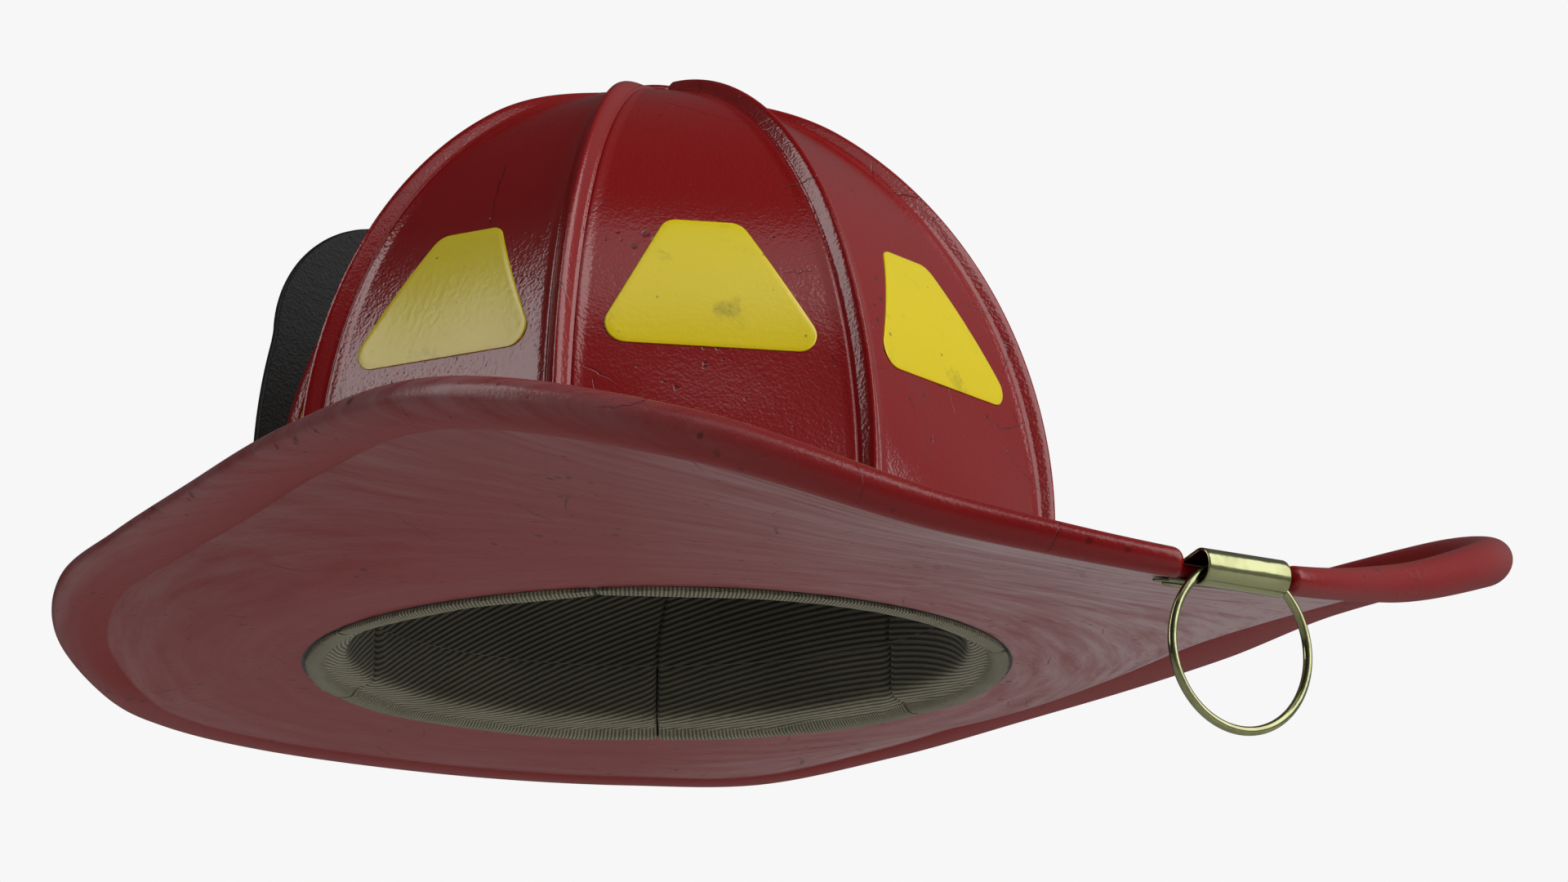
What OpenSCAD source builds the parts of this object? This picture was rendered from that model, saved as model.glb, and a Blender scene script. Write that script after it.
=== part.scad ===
// Traditional leather firefighter helmet, ribbed crown, long tail brim and hanging ring.
// Millimetres. +Z is up, the front faces -Y, the wearer's left is +X.
// The origin lies on the crown's axis, in the plane of the head opening.

/* [Crown] */
// Outside radius of the crown's upright wall
crown_radius = 106.5; // [103:0.5:114]
// Length of the crown as a share of its width
crown_length_share = 0.95; // [0.92:0.01:1.1]
// How far the crown's middle lies behind the axis
crown_back = 4.4; // [2:0.1:5]
// How far the crown leans forwards in 100 mm of height
crown_lean = 1.9; // [0:0.1:4]
// Thickness of the crown's leather panels
crown_wall = 3; // [2:0.5:4]
// Height above the opening plane where the wall turns into the dome
crown_spring = 36; // [30:1:42]
// Rise of the dome above that height
crown_rise = 121.6; // [112:0.1:134]
// Fullness of the dome, where 2 is a plain ellipse
crown_fullness = 1.94; // [1.8:0.02:2.2]
// Width of a comb, the rib over a panel seam
comb_width = 6; // [4:0.5:8]
// Height of a comb above the panels
comb_height = 3.4; // [2:0.2:5]
// Radius of the round pad where the combs meet
pad_radius = 10; // [9:0.5:13]
// Rise of that pad above the combs
pad_rise = 0.6; // [0.2:0.2:2]

/* [Reflective patches] */
// Height of a patch's lower edge
patch_low = 64; // [58:1:70]
// Height of a patch's upper edge
patch_high = 101; // [92:1:108]
// Width of a patch at its lower edge
patch_low_width = 63; // [50:1:66]
// Width of a patch at its upper edge
patch_high_width = 20; // [14:1:30]
// Corner radius of a patch
patch_corner = 5; // [2:0.5:7]
// Thickness of the reflective sheet
patch_thickness = 0.6; // [0.4:0.1:1.2]
// Thickness of the glue under a patch
glue_line = 0.15; // [0.1:0.05:0.3]

/* [Brim outline, distance from the crown's axis] */
// Reach at the rear centre
reach_rear = 262; // [254:0.5:270]
// Reach 15 degrees round from the rear
reach_tail = 248; // [240:0.5:256]
// Reach 30 degrees round
reach_tail_side = 243; // [235:0.5:251]
// Reach 45 degrees round, at the rear corner
reach_rear_corner = 222; // [214:0.5:230]
// Reach 60 degrees round
reach_hind_flank = 189; // [181:0.5:197]
// Reach 75 degrees round
reach_flank = 169.5; // [161.5:0.5:177.5]
// Reach at the side
reach_side = 160.5; // [152.5:0.5:168.5]
// Reach 15 degrees in front of the side
reach_fore_flank = 159.5; // [151.5:0.5:167.5]
// Reach 30 degrees in front of the side
reach_temple = 157; // [149:0.5:165]
// Reach at the front corner
reach_front_corner = 151.5; // [143.5:0.5:159.5]
// Reach 30 degrees from the front
reach_brow_side = 154; // [146:0.5:162]
// Reach 15 degrees from the front
reach_brow = 155; // [147:0.5:163]
// Reach at the front centre
reach_front = 153.5; // [145.5:0.5:161.5]

/* [Brim edge height above the opening plane] */
// Edge height at the rear centre
edge_rear = -19; // [-24:0.1:-14]
// Edge height 15 degrees round from the rear
edge_tail = -8; // [-13:0.1:-3]
// Edge height 30 degrees round
edge_tail_side = 11.3; // [6.3:0.1:16.3]
// Edge height 45 degrees round, at the rear corner
edge_rear_corner = 25.8; // [20.8:0.1:30.8]
// Edge height 60 degrees round
edge_hind_flank = 27; // [22:0.1:32]
// Edge height 75 degrees round
edge_flank = 22.4; // [17.4:0.1:27.4]
// Edge height at the side
edge_side = 19.3; // [14.3:0.1:24.3]
// Edge height 15 degrees in front of the side
edge_fore_flank = 17; // [12:0.1:22]
// Edge height 30 degrees in front of the side
edge_temple = 11.2; // [6.2:0.1:16.2]
// Edge height at the front corner
edge_front_corner = 4; // [-1:0.1:9]
// Edge height 30 degrees from the front
edge_brow_side = 4; // [-1:0.1:9]
// Edge height 15 degrees from the front
edge_brow = 4.2; // [-0.8:0.1:9.2]
// Edge height at the front centre
edge_front = 4; // [-1:0.1:9]

/* [Brim section] */
// Thickness of the brim's leather
brim_sheet = 3; // [2.5:0.5:4]
// Radius of the rolled edge at the rear, where it is round
edge_roll = 3.4; // [3:0.1:4]
// How far the roll hangs below its crease, away from the rear
roll_sag = 1.4; // [1:0.1:2]
// Width of the roll at the rear, from its crease to the edge
lip_rear = 7.5; // [7:0.5:10]
// Width of the roll 30 degrees round from the rear
lip_tail = 10; // [8:0.5:14]
// Width of the roll 60 degrees round
lip_flank = 22; // [14:0.5:26]
// Width of the roll at the side
lip_side = 20; // [14:0.5:26]
// Width of the roll 30 degrees in front of the side
lip_temple = 14.5; // [10:0.5:20]
// Width of the roll 30 degrees from the front
lip_brow = 13; // [10:0.5:20]
// Width of the roll at the front centre
lip_front = 14; // [10:0.5:20]
// Height of the edge above the crease at the rear
rise_rear = 5; // [4.8:0.1:6]
// Height of the edge above the crease 30 degrees round from the rear
rise_tail = 10.8; // [9.4:0.1:12.2]
// Height of the edge above the crease 60 degrees round
rise_flank = 9.4; // [8:0.1:10.8]
// Height of the edge above the crease at the side
rise_side = 7.2; // [5.8:0.1:8.6]
// Height of the edge above the crease 30 degrees in front of the side
rise_temple = 7.3; // [5.9:0.1:8.7]
// Height of the edge above the crease 30 degrees from the front
rise_brow = 6; // [4.6:0.1:7.4]
// Height of the edge above the crease at the front centre
rise_front = 5.4; // [4:0.1:6.8]
// How late the brim bends away from level, 1 is straight
brim_sweep = 1.5; // [1.2:0.1:2]

/* [Head opening and liner] */
// How far the oval hole in the brim lies inside the crown at the sides
opening_side_inset = 13.5; // [12:0.5:19]
// How far that hole lies inside the crown at the front and rear
opening_end_inset = 3.5; // [3.5:0.5:9]
// How far the oval lies behind the crown's axis
opening_back = 4.5; // [0:0.5:5]
// Thickness of the headband round the opening
headband_wall = 1.5; // [1:0.1:2]
// Thickness of the impact cap
cap_wall = 12; // [8:0.5:14]
// Thickness of the fabric lining
lining_wall = 1.5; // [1:0.1:2.5]
// Height where the cap and its lining begin
cap_low = 21; // [18:1:28]
// Width of a sweat pad's lower roll
rim_width = 4.5; // [3.5:0.5:7]
// How far that roll hangs below the opening plane
rim_drop = 2; // [1:0.5:4]
// Width of the pad's ledge above the roll
ledge_width = 6; // [5:0.5:9]
// Height of the sewn channel between roll and ledge
channel_height = 0.5; // [0:0.5:3]
// Gap between sweat pads
sweat_pad_gap = 2; // [1:0.5:4]
// Clearance round soft pieces
soft_gap = 0.3; // [0.2:0.1:0.5]

/* [Front shield] */
// Gap between the crown's wall and the shield's back
shield_gap = 30.7; // [24:0.1:34]
// Thickness of the shield
shield_thickness = 3; // [2:0.5:4]
// Height of the shield's top
shield_top = 150; // [140:1:158]
// Half width of the shield at its foot
shield_foot = 41; // [34:1:48]
// Half width at its widest
shield_wide = 58.5; // [52:0.5:63]
// Height of the widest place
shield_wide_height = 66; // [50:1:80]
// Half width at the shoulder
shield_shoulder = 45; // [40:1:50]
// Height of the shoulder
shield_shoulder_height = 114; // [106:1:115]
// Radius of the top corners
shield_corner = 35; // [25:1:36]
// Width of the low bracket behind the shield
bracket_width = 50; // [36:1:64]
// Height of the low bracket
bracket_height = 22; // [18:1:30]
// Thickness of the bracket's sheet
bracket_sheet = 1.5; // [1:0.1:2]
// Spacing of the two bracket screws
screw_spacing = 32; // [24:1:40]
// Diameter of a bracket screw
screw_diameter = 4; // [3:0.5:5]
// Width of the upper holder
holder_width = 14; // [10:1:20]
// Thickness of the upper holder
holder_sheet = 2; // [1.5:0.25:3]
// How far below the shield's top the holder leaves the crown
holder_drop = 32; // [26:1:38]

/* [Hanging ring] */
// Mean radius of the ring
ring_radius = 19.7; // [18:0.1:22]
// Diameter of the ring's wire
ring_wire = 2.2; // [1.8:0.1:2.4]
// Width of the folded clip along the brim's edge
clip_width = 24; // [20:1:25]
// Inside radius of the clip's fold
clip_bore = 3.7; // [3.6:0.05:4]
// Thickness of the clip's sheet
clip_sheet = 0.8; // [0.6:0.1:1]
// Length of the clip's lower tongue
tongue_length = 25; // [22:1:30]
// Length of the clip's upper leaf
leaf_length = 9; // [7:1:12]
// Width of the tongue
tongue_width = 12; // [10:0.5:16]
// Hole in the tongue
tongue_hole = 5; // [4:0.25:6]

/* [Hidden] */
$fn = 96;
// Sides of the whole rounds under the crown, which are oval and so are built in flat faces
dome_sides = 48;

panel_count = 8;
panel_angle = 360 / panel_count;
comb_names = [
    "comb_left", "comb_rear_left", "comb_rear", "comb_rear_right",
    "comb_right", "comb_front_right", "comb_front", "comb_front_left"
];
dome_steps = 16;

// Colours, as the photograph shows them
leather_red = "#8f1317";
comb_red = "#7a1115";
patch_yellow = "#dccb1e";
shield_black = "#1b1b1c";
brass = "#b9b878";
foam_grey = "#4a4a48";
lining_olive = "#3b3a31";
pad_olive = "#6d6a58";
band_black = "#22211f";

// Radius of the hole under the pad, and clearance under the pad's stem
pad_hole = pad_radius - 2;
stem_gap = soft_gap;

// A dome curve, sunk by the given depth under the crown's outside
function dome_end(sink, radius) = acos(pow(radius / (crown_radius - sink), crown_fullness / 2));
function dome_point(sink, s) = [
    (crown_radius - sink) * pow(cos(s), 2 / crown_fullness),
    crown_spring + (crown_rise - sink) * pow(sin(s), 2 / crown_fullness)
];
function dome_curve(sink, low, radius) = [
    [crown_radius - sink, low],
    for (i = [0 : dome_steps]) dome_point(sink, dome_end(sink, radius) * i / dome_steps)
];
function dome_height(sink, radius) = dome_point(sink, dome_end(sink, radius))[1];
function dome_radius(sink, height) =
    let (lift = max(0, height - crown_spring) / (crown_rise - sink))
    (crown_radius - sink) * pow(1 - pow(lift, crown_fullness), 1 / crown_fullness);
function crown_front(sink, height) =
    dome_radius(sink, height) * crown_length_share - crown_back + crown_lean / 100 * (height - crown_spring);
function backwards(list) = [for (i = [len(list) - 1 : -1 : 0]) list[i]];

// Stations spaced evenly round the brim from the rear to the front, mirrored at both ends
reach_stations = [
    reach_rear, reach_tail, reach_tail_side, reach_rear_corner, reach_hind_flank, reach_flank, reach_side,
    reach_fore_flank, reach_temple, reach_front_corner, reach_brow_side, reach_brow, reach_front
];
edge_stations = [
    edge_rear, edge_tail, edge_tail_side, edge_rear_corner, edge_hind_flank, edge_flank, edge_side,
    edge_fore_flank, edge_temple, edge_front_corner, edge_brow_side, edge_brow, edge_front
];
lip_stations = [lip_rear, lip_tail, lip_flank, lip_side, lip_temple, lip_brow, lip_front];
rise_stations = [rise_rear, rise_tail, rise_flank, rise_side, rise_temple, rise_brow, rise_front];
roll_stations = [
    for (i = [0 : len(rise_stations) - 1]) i == 0 ? edge_roll : (rise_stations[i] + roll_sag) / 2
];

// Smooth curve through the stations at an angle from the rear
function folded(turn) = let (t = ((turn % 360) + 360) % 360) t > 180 ? 360 - t : t;
function pick(list, i) = let (last = len(list) - 1) list[i < 0 ? -i : i > last ? 2 * last - i : i];
function along(list, turn) =
    let (
        t = folded(turn) / 180 * (len(list) - 1),
        i = min(floor(t), len(list) - 2),
        u = t - i,
        a = pick(list, i - 1),
        b = pick(list, i),
        c = pick(list, i + 1),
        d = pick(list, i + 2)
    )
    b + 0.5 * u * (c - a + u * (2 * a - 5 * b + 4 * c - d + u * (3 * (b - c) + d - a)));

// Half sizes of the oval hole in the brim, and distance of the shield's back from the crown's axis
opening_half_width = crown_radius - opening_side_inset;
opening_half_length = crown_radius * crown_length_share - opening_end_inset;
shield_distance = crown_radius * crown_length_share - crown_back + shield_gap;

// Place of a section point, given its distance and height, at an angle from the rear
function spot(turn, distance, height) = [distance * sin(turn), distance * cos(turn), height];

// Distance to an oval round the head at an angle from the rear
function oval(turn, half_width, half_length) =
    let (
        a = pow(sin(turn) / half_width, 2) + pow(cos(turn) / half_length, 2),
        b = -opening_back * cos(turn) / pow(half_length, 2),
        c = pow(opening_back / half_length, 2) - 1
    )
    (-b + sqrt(b * b - a * c)) / a;

// The rolled edge stops beside the clip, where the bare sheet is cut back so that the ring can swing
roll_clear = 3;
cut_back = 1.2;
roll_stop = clip_width / 2 + roll_clear;
roll_start = roll_stop + edge_roll;
roll_distance = reach_rear - edge_roll;
roll_height = edge_rear - edge_roll;

// Angles of the brim's sections, closer together beside the clip
roll_stop_turn = asin(roll_stop / reach_rear);
roll_start_turn = asin(roll_start / reach_rear);
half_turns = concat(
    [for (n = [0, 0.5, 0.98]) n * roll_stop_turn],
    [for (n = [0 : 4]) roll_stop_turn + (roll_start_turn - roll_stop_turn) * n / 4],
    [for (n = [2 : 1 : 48]) n * 3.75]
);
turns = concat(half_turns, [for (i = [len(half_turns) - 2 : -1 : 1]) 360 - half_turns[i]]);

// How full the rolled edge is at an angle, a rounded end beside the clip
function roll_share(turn) =
    let (
        across = reach_rear * sin(min(folded(turn), 45)),
        u = (across - roll_stop) / (roll_start - roll_stop)
    )
    u <= 0 ? 0 : u >= 1 ? 1 : sqrt(1 - pow(1 - u, 2));

flange_end = crown_radius + comb_height + 2;
span_steps = 6;
roll_steps = 10;

// Outline of the brim at an angle: out along the underside, round the rolled edge, back on top.
// The roll is an oval that meets the underside at the crease and the edge at its widest.
function brim_section(turn) =
    let (
        share = roll_share(turn),
        bare = brim_sheet / 2,
        reach = along(reach_stations, turn),
        edge = along(edge_stations, turn),
        lip = along(lip_stations, turn),
        rise = along(rise_stations, turn),
        tall = along(roll_stations, turn),
        crease = reach - lip - cut_back * (1 - share),
        crease_height = edge - rise,
        from = -180 + asin((rise - tall) / tall),
        to = 180 - asin(min(0.9, (tall - rise + brim_sheet) / tall)),
        wide = lip / (1 - cos(from)),
        half_wide = bare + (wide - bare) * share,
        half_tall = bare + (tall - bare) * share,
        centre = crease + (reach - wide - crease) * share,
        middle = crease_height + bare + (edge - tall - crease_height - bare) * share,
        inside = oval(turn, opening_half_width, opening_half_length),
        under = [for (i = [0 : span_steps]) let (q = i / span_steps) [
            flange_end + (crease - flange_end) * q,
            crease_height * pow(q, brim_sweep)
        ]]
    )
    concat(
        [[inside, 0]],
        under,
        [for (i = [1 : roll_steps - 1])
            let (
                whole = from + (to - from) * i / roll_steps,
                plain = -90 + 180 * i / roll_steps,
                a = plain + (whole - plain) * share
            )
            [centre + half_wide * cos(a), middle + half_tall * sin(a)]],
        [for (i = [span_steps : -1 : 0]) under[i] + [0, brim_sheet]],
        [[inside, brim_sheet]]
    );

// Closed ring of sections as one solid
module ring_of(rows) {
    count = len(rows);
    size = len(rows[0]);
    points = [for (row = rows) each row];
    faces = [for (i = [0 : count - 1]) for (j = [0 : size - 1])
        let (
            a = i * size + j,
            b = i * size + (j + 1) % size,
            c = ((i + 1) % count) * size + (j + 1) % size,
            d = ((i + 1) % count) * size + j
        )
        each [[a, b, c], [a, c, d]]
    ];
    polyhedron(points, faces);
}

// Open run of sections as one solid with flat ends
module run_of(rows) {
    count = len(rows);
    size = len(rows[0]);
    points = [for (row = rows) each row];
    sides = [for (i = [0 : count - 2]) for (j = [0 : size - 1])
        let (
            a = i * size + j,
            b = i * size + (j + 1) % size,
            c = (i + 1) * size + (j + 1) % size,
            d = (i + 1) * size + j
        )
        each [[a, b, c], [a, c, d]]
    ];
    first = [for (j = [size - 1 : -1 : 0]) j];
    last = [for (j = [0 : size - 1]) (count - 1) * size + j];
    polyhedron(points, concat(sides, [first, last]));
}

module brim() {
    color(leather_red)
        ring_of([for (turn = turns) [for (p = brim_section(turn)) spot(turn, p[0], p[1])]]);
}

// Place of the crown: a round dome, shortened from front to rear, set back and leaned forwards
module on_crown() {
    lean = crown_lean / 100;
    multmatrix([
        [1, 0, 0, 0],
        [0, crown_length_share, -lean, crown_back + lean * crown_spring],
        [0, 0, 1, 0]
    ])
        children();
}

// Layer of the dome between two depths, turned through an angle
module dome_layer(outer, inner, low, radius, angle) {
    rotate_extrude(angle = angle)
        polygon(concat(dome_curve(outer, low, radius), backwards(dome_curve(inner, low, radius))));
}

// Whole layer of the dome, closed flat over the top
module dome_shell(outer, inner, low) {
    rotate_extrude($fn = dome_sides)
        polygon(concat(
            dome_curve(outer, low, pad_hole),
            [[0, dome_height(outer, pad_hole)], [0, dome_height(inner, pad_hole)]],
            backwards(dome_curve(inner, low, pad_hole))
        ));
}

module crown_panel(n) {
    color(leather_red)
        on_crown() rotate((n - 1) * panel_angle)
            dome_layer(0, crown_wall, brim_sheet, pad_hole, panel_angle);
}

// One comb, a strip over the seam at a given angle from +X
module comb(n) {
    color(comb_red)
        on_crown() rotate(n * panel_angle)
            rotate([90, 0, 0])
                linear_extrude(height = comb_width, center = true)
                    polygon(concat(
                        dome_curve(-comb_height, brim_sheet, pad_radius),
                        backwards(dome_curve(0, brim_sheet, pad_radius))
                    ));
}

module comb_pad() {
    top = dome_height(-comb_height, pad_radius);
    color(comb_red)
        on_crown() rotate_extrude($fn = dome_sides)
            polygon([
                [0, dome_height(crown_wall, pad_hole) + stem_gap + crown_wall / 2],
                [pad_hole, dome_height(crown_wall, pad_hole) + stem_gap + crown_wall / 2],
                [pad_hole, dome_height(0, pad_hole)],
                [pad_hole, dome_height(0, pad_hole) + stem_gap],
                [pad_radius, dome_height(0, pad_hole) + stem_gap],
                [pad_radius, top],
                [pad_radius * 0.6, top + pad_rise],
                [0, top + pad_rise * 1.4]
            ]);
}

// Corner arc of a patch or shield outline
function arc(centre, radius, from, to, steps) =
    [for (i = [0 : steps]) let (a = from + (to - from) * i / steps)
        centre + radius * [cos(a), sin(a)]];

module patch_outline() {
    lean = atan2((patch_low_width - patch_high_width) / 2, patch_high - patch_low);
    low_in = patch_corner * tan(45 + lean / 2);
    high_in = patch_corner * tan(45 - lean / 2);
    low = [patch_low_width / 2 - low_in, patch_low + patch_corner];
    high = [max(0.5, patch_high_width / 2 - high_in), patch_high - patch_corner];
    right = concat(
        arc(low, patch_corner, -90, lean, 5),
        arc(high, patch_corner, lean, 90, 3)
    );
    polygon(concat(right, [for (p = backwards(right)) [-p[0], p[1]]]));
}

module reflective_patch(n) {
    color(patch_yellow)
        on_crown() rotate((n - 0.5) * panel_angle)
            intersection() {
                rotate(-panel_angle / 2)
                    dome_layer(-glue_line - patch_thickness, -glue_line, brim_sheet, pad_hole, panel_angle);
                rotate([90, 0, 90])
                    linear_extrude(height = crown_radius + comb_height)
                        patch_outline();
            }
}

// Front shield, drawn as seen from the front, and stood up facing -Y
shield_low = brim_sheet + soft_gap + 1.5;
module shield_outline() {
    foot = [shield_foot, shield_low];
    wide = [shield_wide, shield_wide_height];
    shoulder = [shield_shoulder, shield_shoulder_height];
    corner = [shield_shoulder - shield_corner, shield_top - shield_corner];
    side = [for (i = [0 : 9]) let (u = i / 10)
        (1 - u) * (1 - u) * foot + 2 * u * (1 - u) * wide + u * u * shoulder];
    right = concat(side, arc(corner, shield_corner, 0, 90, 8));
    polygon(concat(right, [for (p = backwards(right)) [-p[0], p[1]]]));
}

screw_height = shield_low + bracket_height / 2;
module screw_places() {
    for (side = [-1, 1])
        translate([side * screw_spacing / 2, -shield_distance, screw_height])
            rotate([90, 0, 0])
                children();
}

module front_shield() {
    color(shield_black)
        difference() {
            translate([0, -shield_distance, 0])
                rotate([90, 0, 0])
                    linear_extrude(height = shield_thickness)
                        shield_outline();
            screw_places()
                translate([0, 0, -1])
                    cylinder(d = screw_diameter, h = shield_thickness + 2);
        }
}

// Low bracket, a bent sheet behind the shield standing on the brim
bracket_foot = shield_distance - flange_end + 1;
bracket_base = brim_sheet + soft_gap;
module shield_bracket() {
    color(brass)
        difference() {
            translate([-bracket_width / 2, 0, 0])
                rotate([90, 0, 90])
                    linear_extrude(height = bracket_width)
                        polygon([
                            [-shield_distance, bracket_base],
                            [-shield_distance + bracket_foot, bracket_base],
                            [-shield_distance + bracket_foot, bracket_base + bracket_sheet],
                            [-shield_distance + bracket_sheet, bracket_base + bracket_sheet],
                            [-shield_distance + bracket_sheet, bracket_base + bracket_height],
                            [-shield_distance, bracket_base + bracket_height]
                        ]);
            screw_places()
                translate([0, 0, -bracket_sheet - 1])
                    cylinder(d = screw_diameter, h = bracket_sheet + 2);
            rivet_places()
                translate([0, 0, -1])
                    cylinder(d = screw_diameter, h = bracket_sheet + 2);
        }
}

module rivet_places() {
    for (side = [-1, 1])
        translate([side * screw_spacing / 2, -shield_distance + bracket_foot / 2 + 1, bracket_base])
            children();
}

module bracket_rivets() {
    color(brass)
        rivet_places() {
            cylinder(d = screw_diameter, h = bracket_sheet);
            translate([0, 0, bracket_sheet])
                cylinder(d1 = screw_diameter * 1.8, d2 = screw_diameter, h = screw_diameter * 0.4);
        }
}

module shield_screws() {
    color(brass)
        screw_places() {
            translate([0, 0, -bracket_sheet])
                cylinder(d = screw_diameter, h = bracket_sheet + shield_thickness);
            translate([0, 0, shield_thickness])
                cylinder(d1 = screw_diameter * 2, d2 = screw_diameter * 1.3, h = screw_diameter * 0.5);
        }
}

// Upper holder, a bent bar with one foot on the front comb and one behind the shield
foot_steps = 4;
holder_low = shield_top - holder_drop;
function holder_foot(sink) = [for (i = [0 : foot_steps])
    let (z = holder_low + holder_width * i / foot_steps)
    [-crown_front(-comb_height, z) - soft_gap - sink, z]
];
module holder_section() {
    back = -shield_distance;
    arm = holder_low + holder_sheet;
    polygon(concat(
        holder_foot(0),
        backwards([for (p = holder_foot(holder_sheet)) if (p[1] > arm) p]),
        [
            [-crown_front(-comb_height, arm) - soft_gap - holder_sheet, arm],
            [back + holder_sheet, arm],
            [back + holder_sheet, holder_low + holder_width],
            [back, holder_low + holder_width],
            [back, holder_low]
        ]
    ));
}

module shield_holder() {
    color(brass)
        translate([-holder_width / 2, 0, 0])
            rotate([90, 0, 90])
                linear_extrude(height = holder_width)
                    holder_section();
}

// Slope of the brim's underside at the rear, along which the clip's leaves lie
rear_section = brim_section(0);
crease_spot = rear_section[span_steps + 1] - [roll_distance, roll_height];
inner_spot = rear_section[span_steps] - [roll_distance, roll_height];
leaf_run = (inner_spot - crease_spot) / norm(inner_spot - crease_spot);
leaf_slope = atan2(-leaf_run[1], -leaf_run[0]);
leaf_side = [-leaf_run[1], leaf_run[0]];

// Seats of the lower and upper leaf, on the brim's two faces just inside its cut edge
leaf_start = 2;
low_seat = crease_spot + leaf_start * leaf_run + soft_gap * leaf_side;
high_seat = crease_spot + leaf_start * leaf_run - (brim_sheet + soft_gap) * leaf_side;

module at_roll() {
    translate([0, roll_distance, roll_height])
        children();
}

// Section of the clip: a sheet bent round the ring, ending in leaves on both faces of the brim.
// The bend is drawn slightly thick inside, and then bored round.
tongue_reach = tongue_length - leaf_start;
bore_stock = 0.15;
function clip_path(radius, sink) = concat(
    [low_seat + tongue_reach * leaf_run + sink * leaf_side, low_seat + sink * leaf_side],
    arc([0, 0], radius, -90, 90, 24),
    [high_seat - sink * leaf_side, high_seat + leaf_length * leaf_run - sink * leaf_side]
);
module clip_section() {
    inner = clip_path(clip_bore - bore_stock, 0);
    polygon(concat(inner, backwards(clip_path(clip_bore + clip_sheet, clip_sheet))));
}

// What is cut from the lower leaf to leave a tongue with a round end
module tongue_trim() {
    centre = -tongue_reach + tongue_width / 2;
    difference() {
        translate([-clip_width, -tongue_reach - 1])
            square([2 * clip_width, tongue_reach + 1 - leaf_length / 2]);
        translate([0, centre])
            circle(d = tongue_width);
        translate([-tongue_width / 2, centre])
            square([tongue_width, tongue_reach]);
    }
}

// Frame of the tongue: its upper face, with +Z towards the brim
module at_tongue() {
    at_roll()
        translate([0, low_seat[0], low_seat[1]])
            rotate([leaf_slope, 0, 0])
                children();
}

module eyelet_place() {
    at_tongue()
        translate([0, -tongue_length + leaf_start + tongue_width / 2, 0])
            children();
}

module hanger_clip() {
    color(brass)
        difference() {
            at_roll()
                rotate([90, 0, 90])
                    linear_extrude(height = clip_width, center = true)
                        clip_section();
            at_roll()
                rotate([0, 90, 0])
                    cylinder(r = clip_bore, h = clip_width + 2, center = true);
            at_tongue()
                translate([0, 0, -clip_sheet - 1])
                    linear_extrude(height = clip_sheet + 1 + brim_sheet / 2)
                        tongue_trim();
            eyelet_place()
                translate([0, 0, -clip_sheet - 1])
                    cylinder(d = tongue_hole, h = clip_sheet + 2);
        }
}

module clip_eyelet() {
    rim = tongue_hole / 2 + 1.2;
    color(brass)
        eyelet_place()
            rotate_extrude()
                polygon([
                    [tongue_hole / 2 - 1, -clip_sheet - 0.6],
                    [rim, -clip_sheet - 0.6],
                    [rim, -clip_sheet],
                    [tongue_hole / 2, -clip_sheet],
                    [tongue_hole / 2, 0],
                    [tongue_hole / 2 - 1, 0]
                ]);
}

// The ring hangs with its upper arc halfway up inside the fold
arc_drop = ring_radius - sqrt(pow(ring_radius, 2) - pow(clip_width / 2, 2));
ring_centre = roll_height + arc_drop / 2 - ring_radius;
module hanger_ring() {
    color(brass)
        translate([0, roll_distance, ring_centre])
            rotate([90, 0, 0])
                rotate_extrude()
                    translate([ring_radius, 0])
                        circle(d = ring_wire, $fn = 32);
}

module impact_cap() {
    color(foam_grey)
        on_crown() dome_shell(crown_wall, crown_wall + cap_wall, cap_low);
}

module liner_dome() {
    inner = crown_wall + cap_wall;
    color(lining_olive)
        on_crown() dome_shell(inner, inner + lining_wall, cap_low);
}

module headband() {
    color(band_black)
        linear_extrude(height = cap_low)
            difference() {
                polygon([for (turn = turns) head_spot(turn, 0)]);
                polygon([for (turn = turns) head_spot(turn, headband_wall)]);
            }
}

// Place on the oval round the head, a given depth inside the brim's hole
function head_spot(turn, depth) =
    let (r = oval(turn, opening_half_width - depth, opening_half_length - depth))
    [r * sin(turn), r * cos(turn)];

// Ends of the sweat pads, in degrees from the rear
pad_rear_end = 40;
pad_side_end = 93;
pad_front_end = 146;
pad_steps = 18;

// Outline of a sweat pad as depth and height: a low roll, a sewn channel and a ledge above it
pad_top = cap_low - soft_gap;
pad_back = 0.5;
pad_outline = [
    [pad_back, 1],
    [rim_width * 0.16, -rim_drop * 0.75],
    [rim_width * 0.5, -rim_drop],
    [rim_width * 0.86, -rim_drop * 0.6],
    [rim_width, channel_height * 0.4],
    [rim_width * 1.02, channel_height],
    [rim_width + ledge_width * 0.3, channel_height + 0.8],
    [rim_width + ledge_width * 0.75, channel_height + 1.6],
    [rim_width + ledge_width, channel_height + 5],
    [rim_width + ledge_width * 0.9, pad_top - 3],
    [rim_width + ledge_width * 0.55, pad_top],
    [rim_width * 0.8, pad_top - 0.2],
    [pad_back, pad_top - 1.5],
    [0, pad_top * 0.5]
];
pad_middle = [rim_width * 0.8, pad_top * 0.45];

// The outline at a place along the pad, drawn in towards the ends, share -1 to 1
function pad_row(share) =
    let (fill = 0.7 + 0.3 * pow(1 - pow(abs(share), 6), 0.5))
    [for (p = pad_outline) [
        pad_middle[0] + (p[0] - pad_middle[0]) * fill,
        pad_middle[1] + (p[1] - pad_middle[1]) * fill
    ]];

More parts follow.
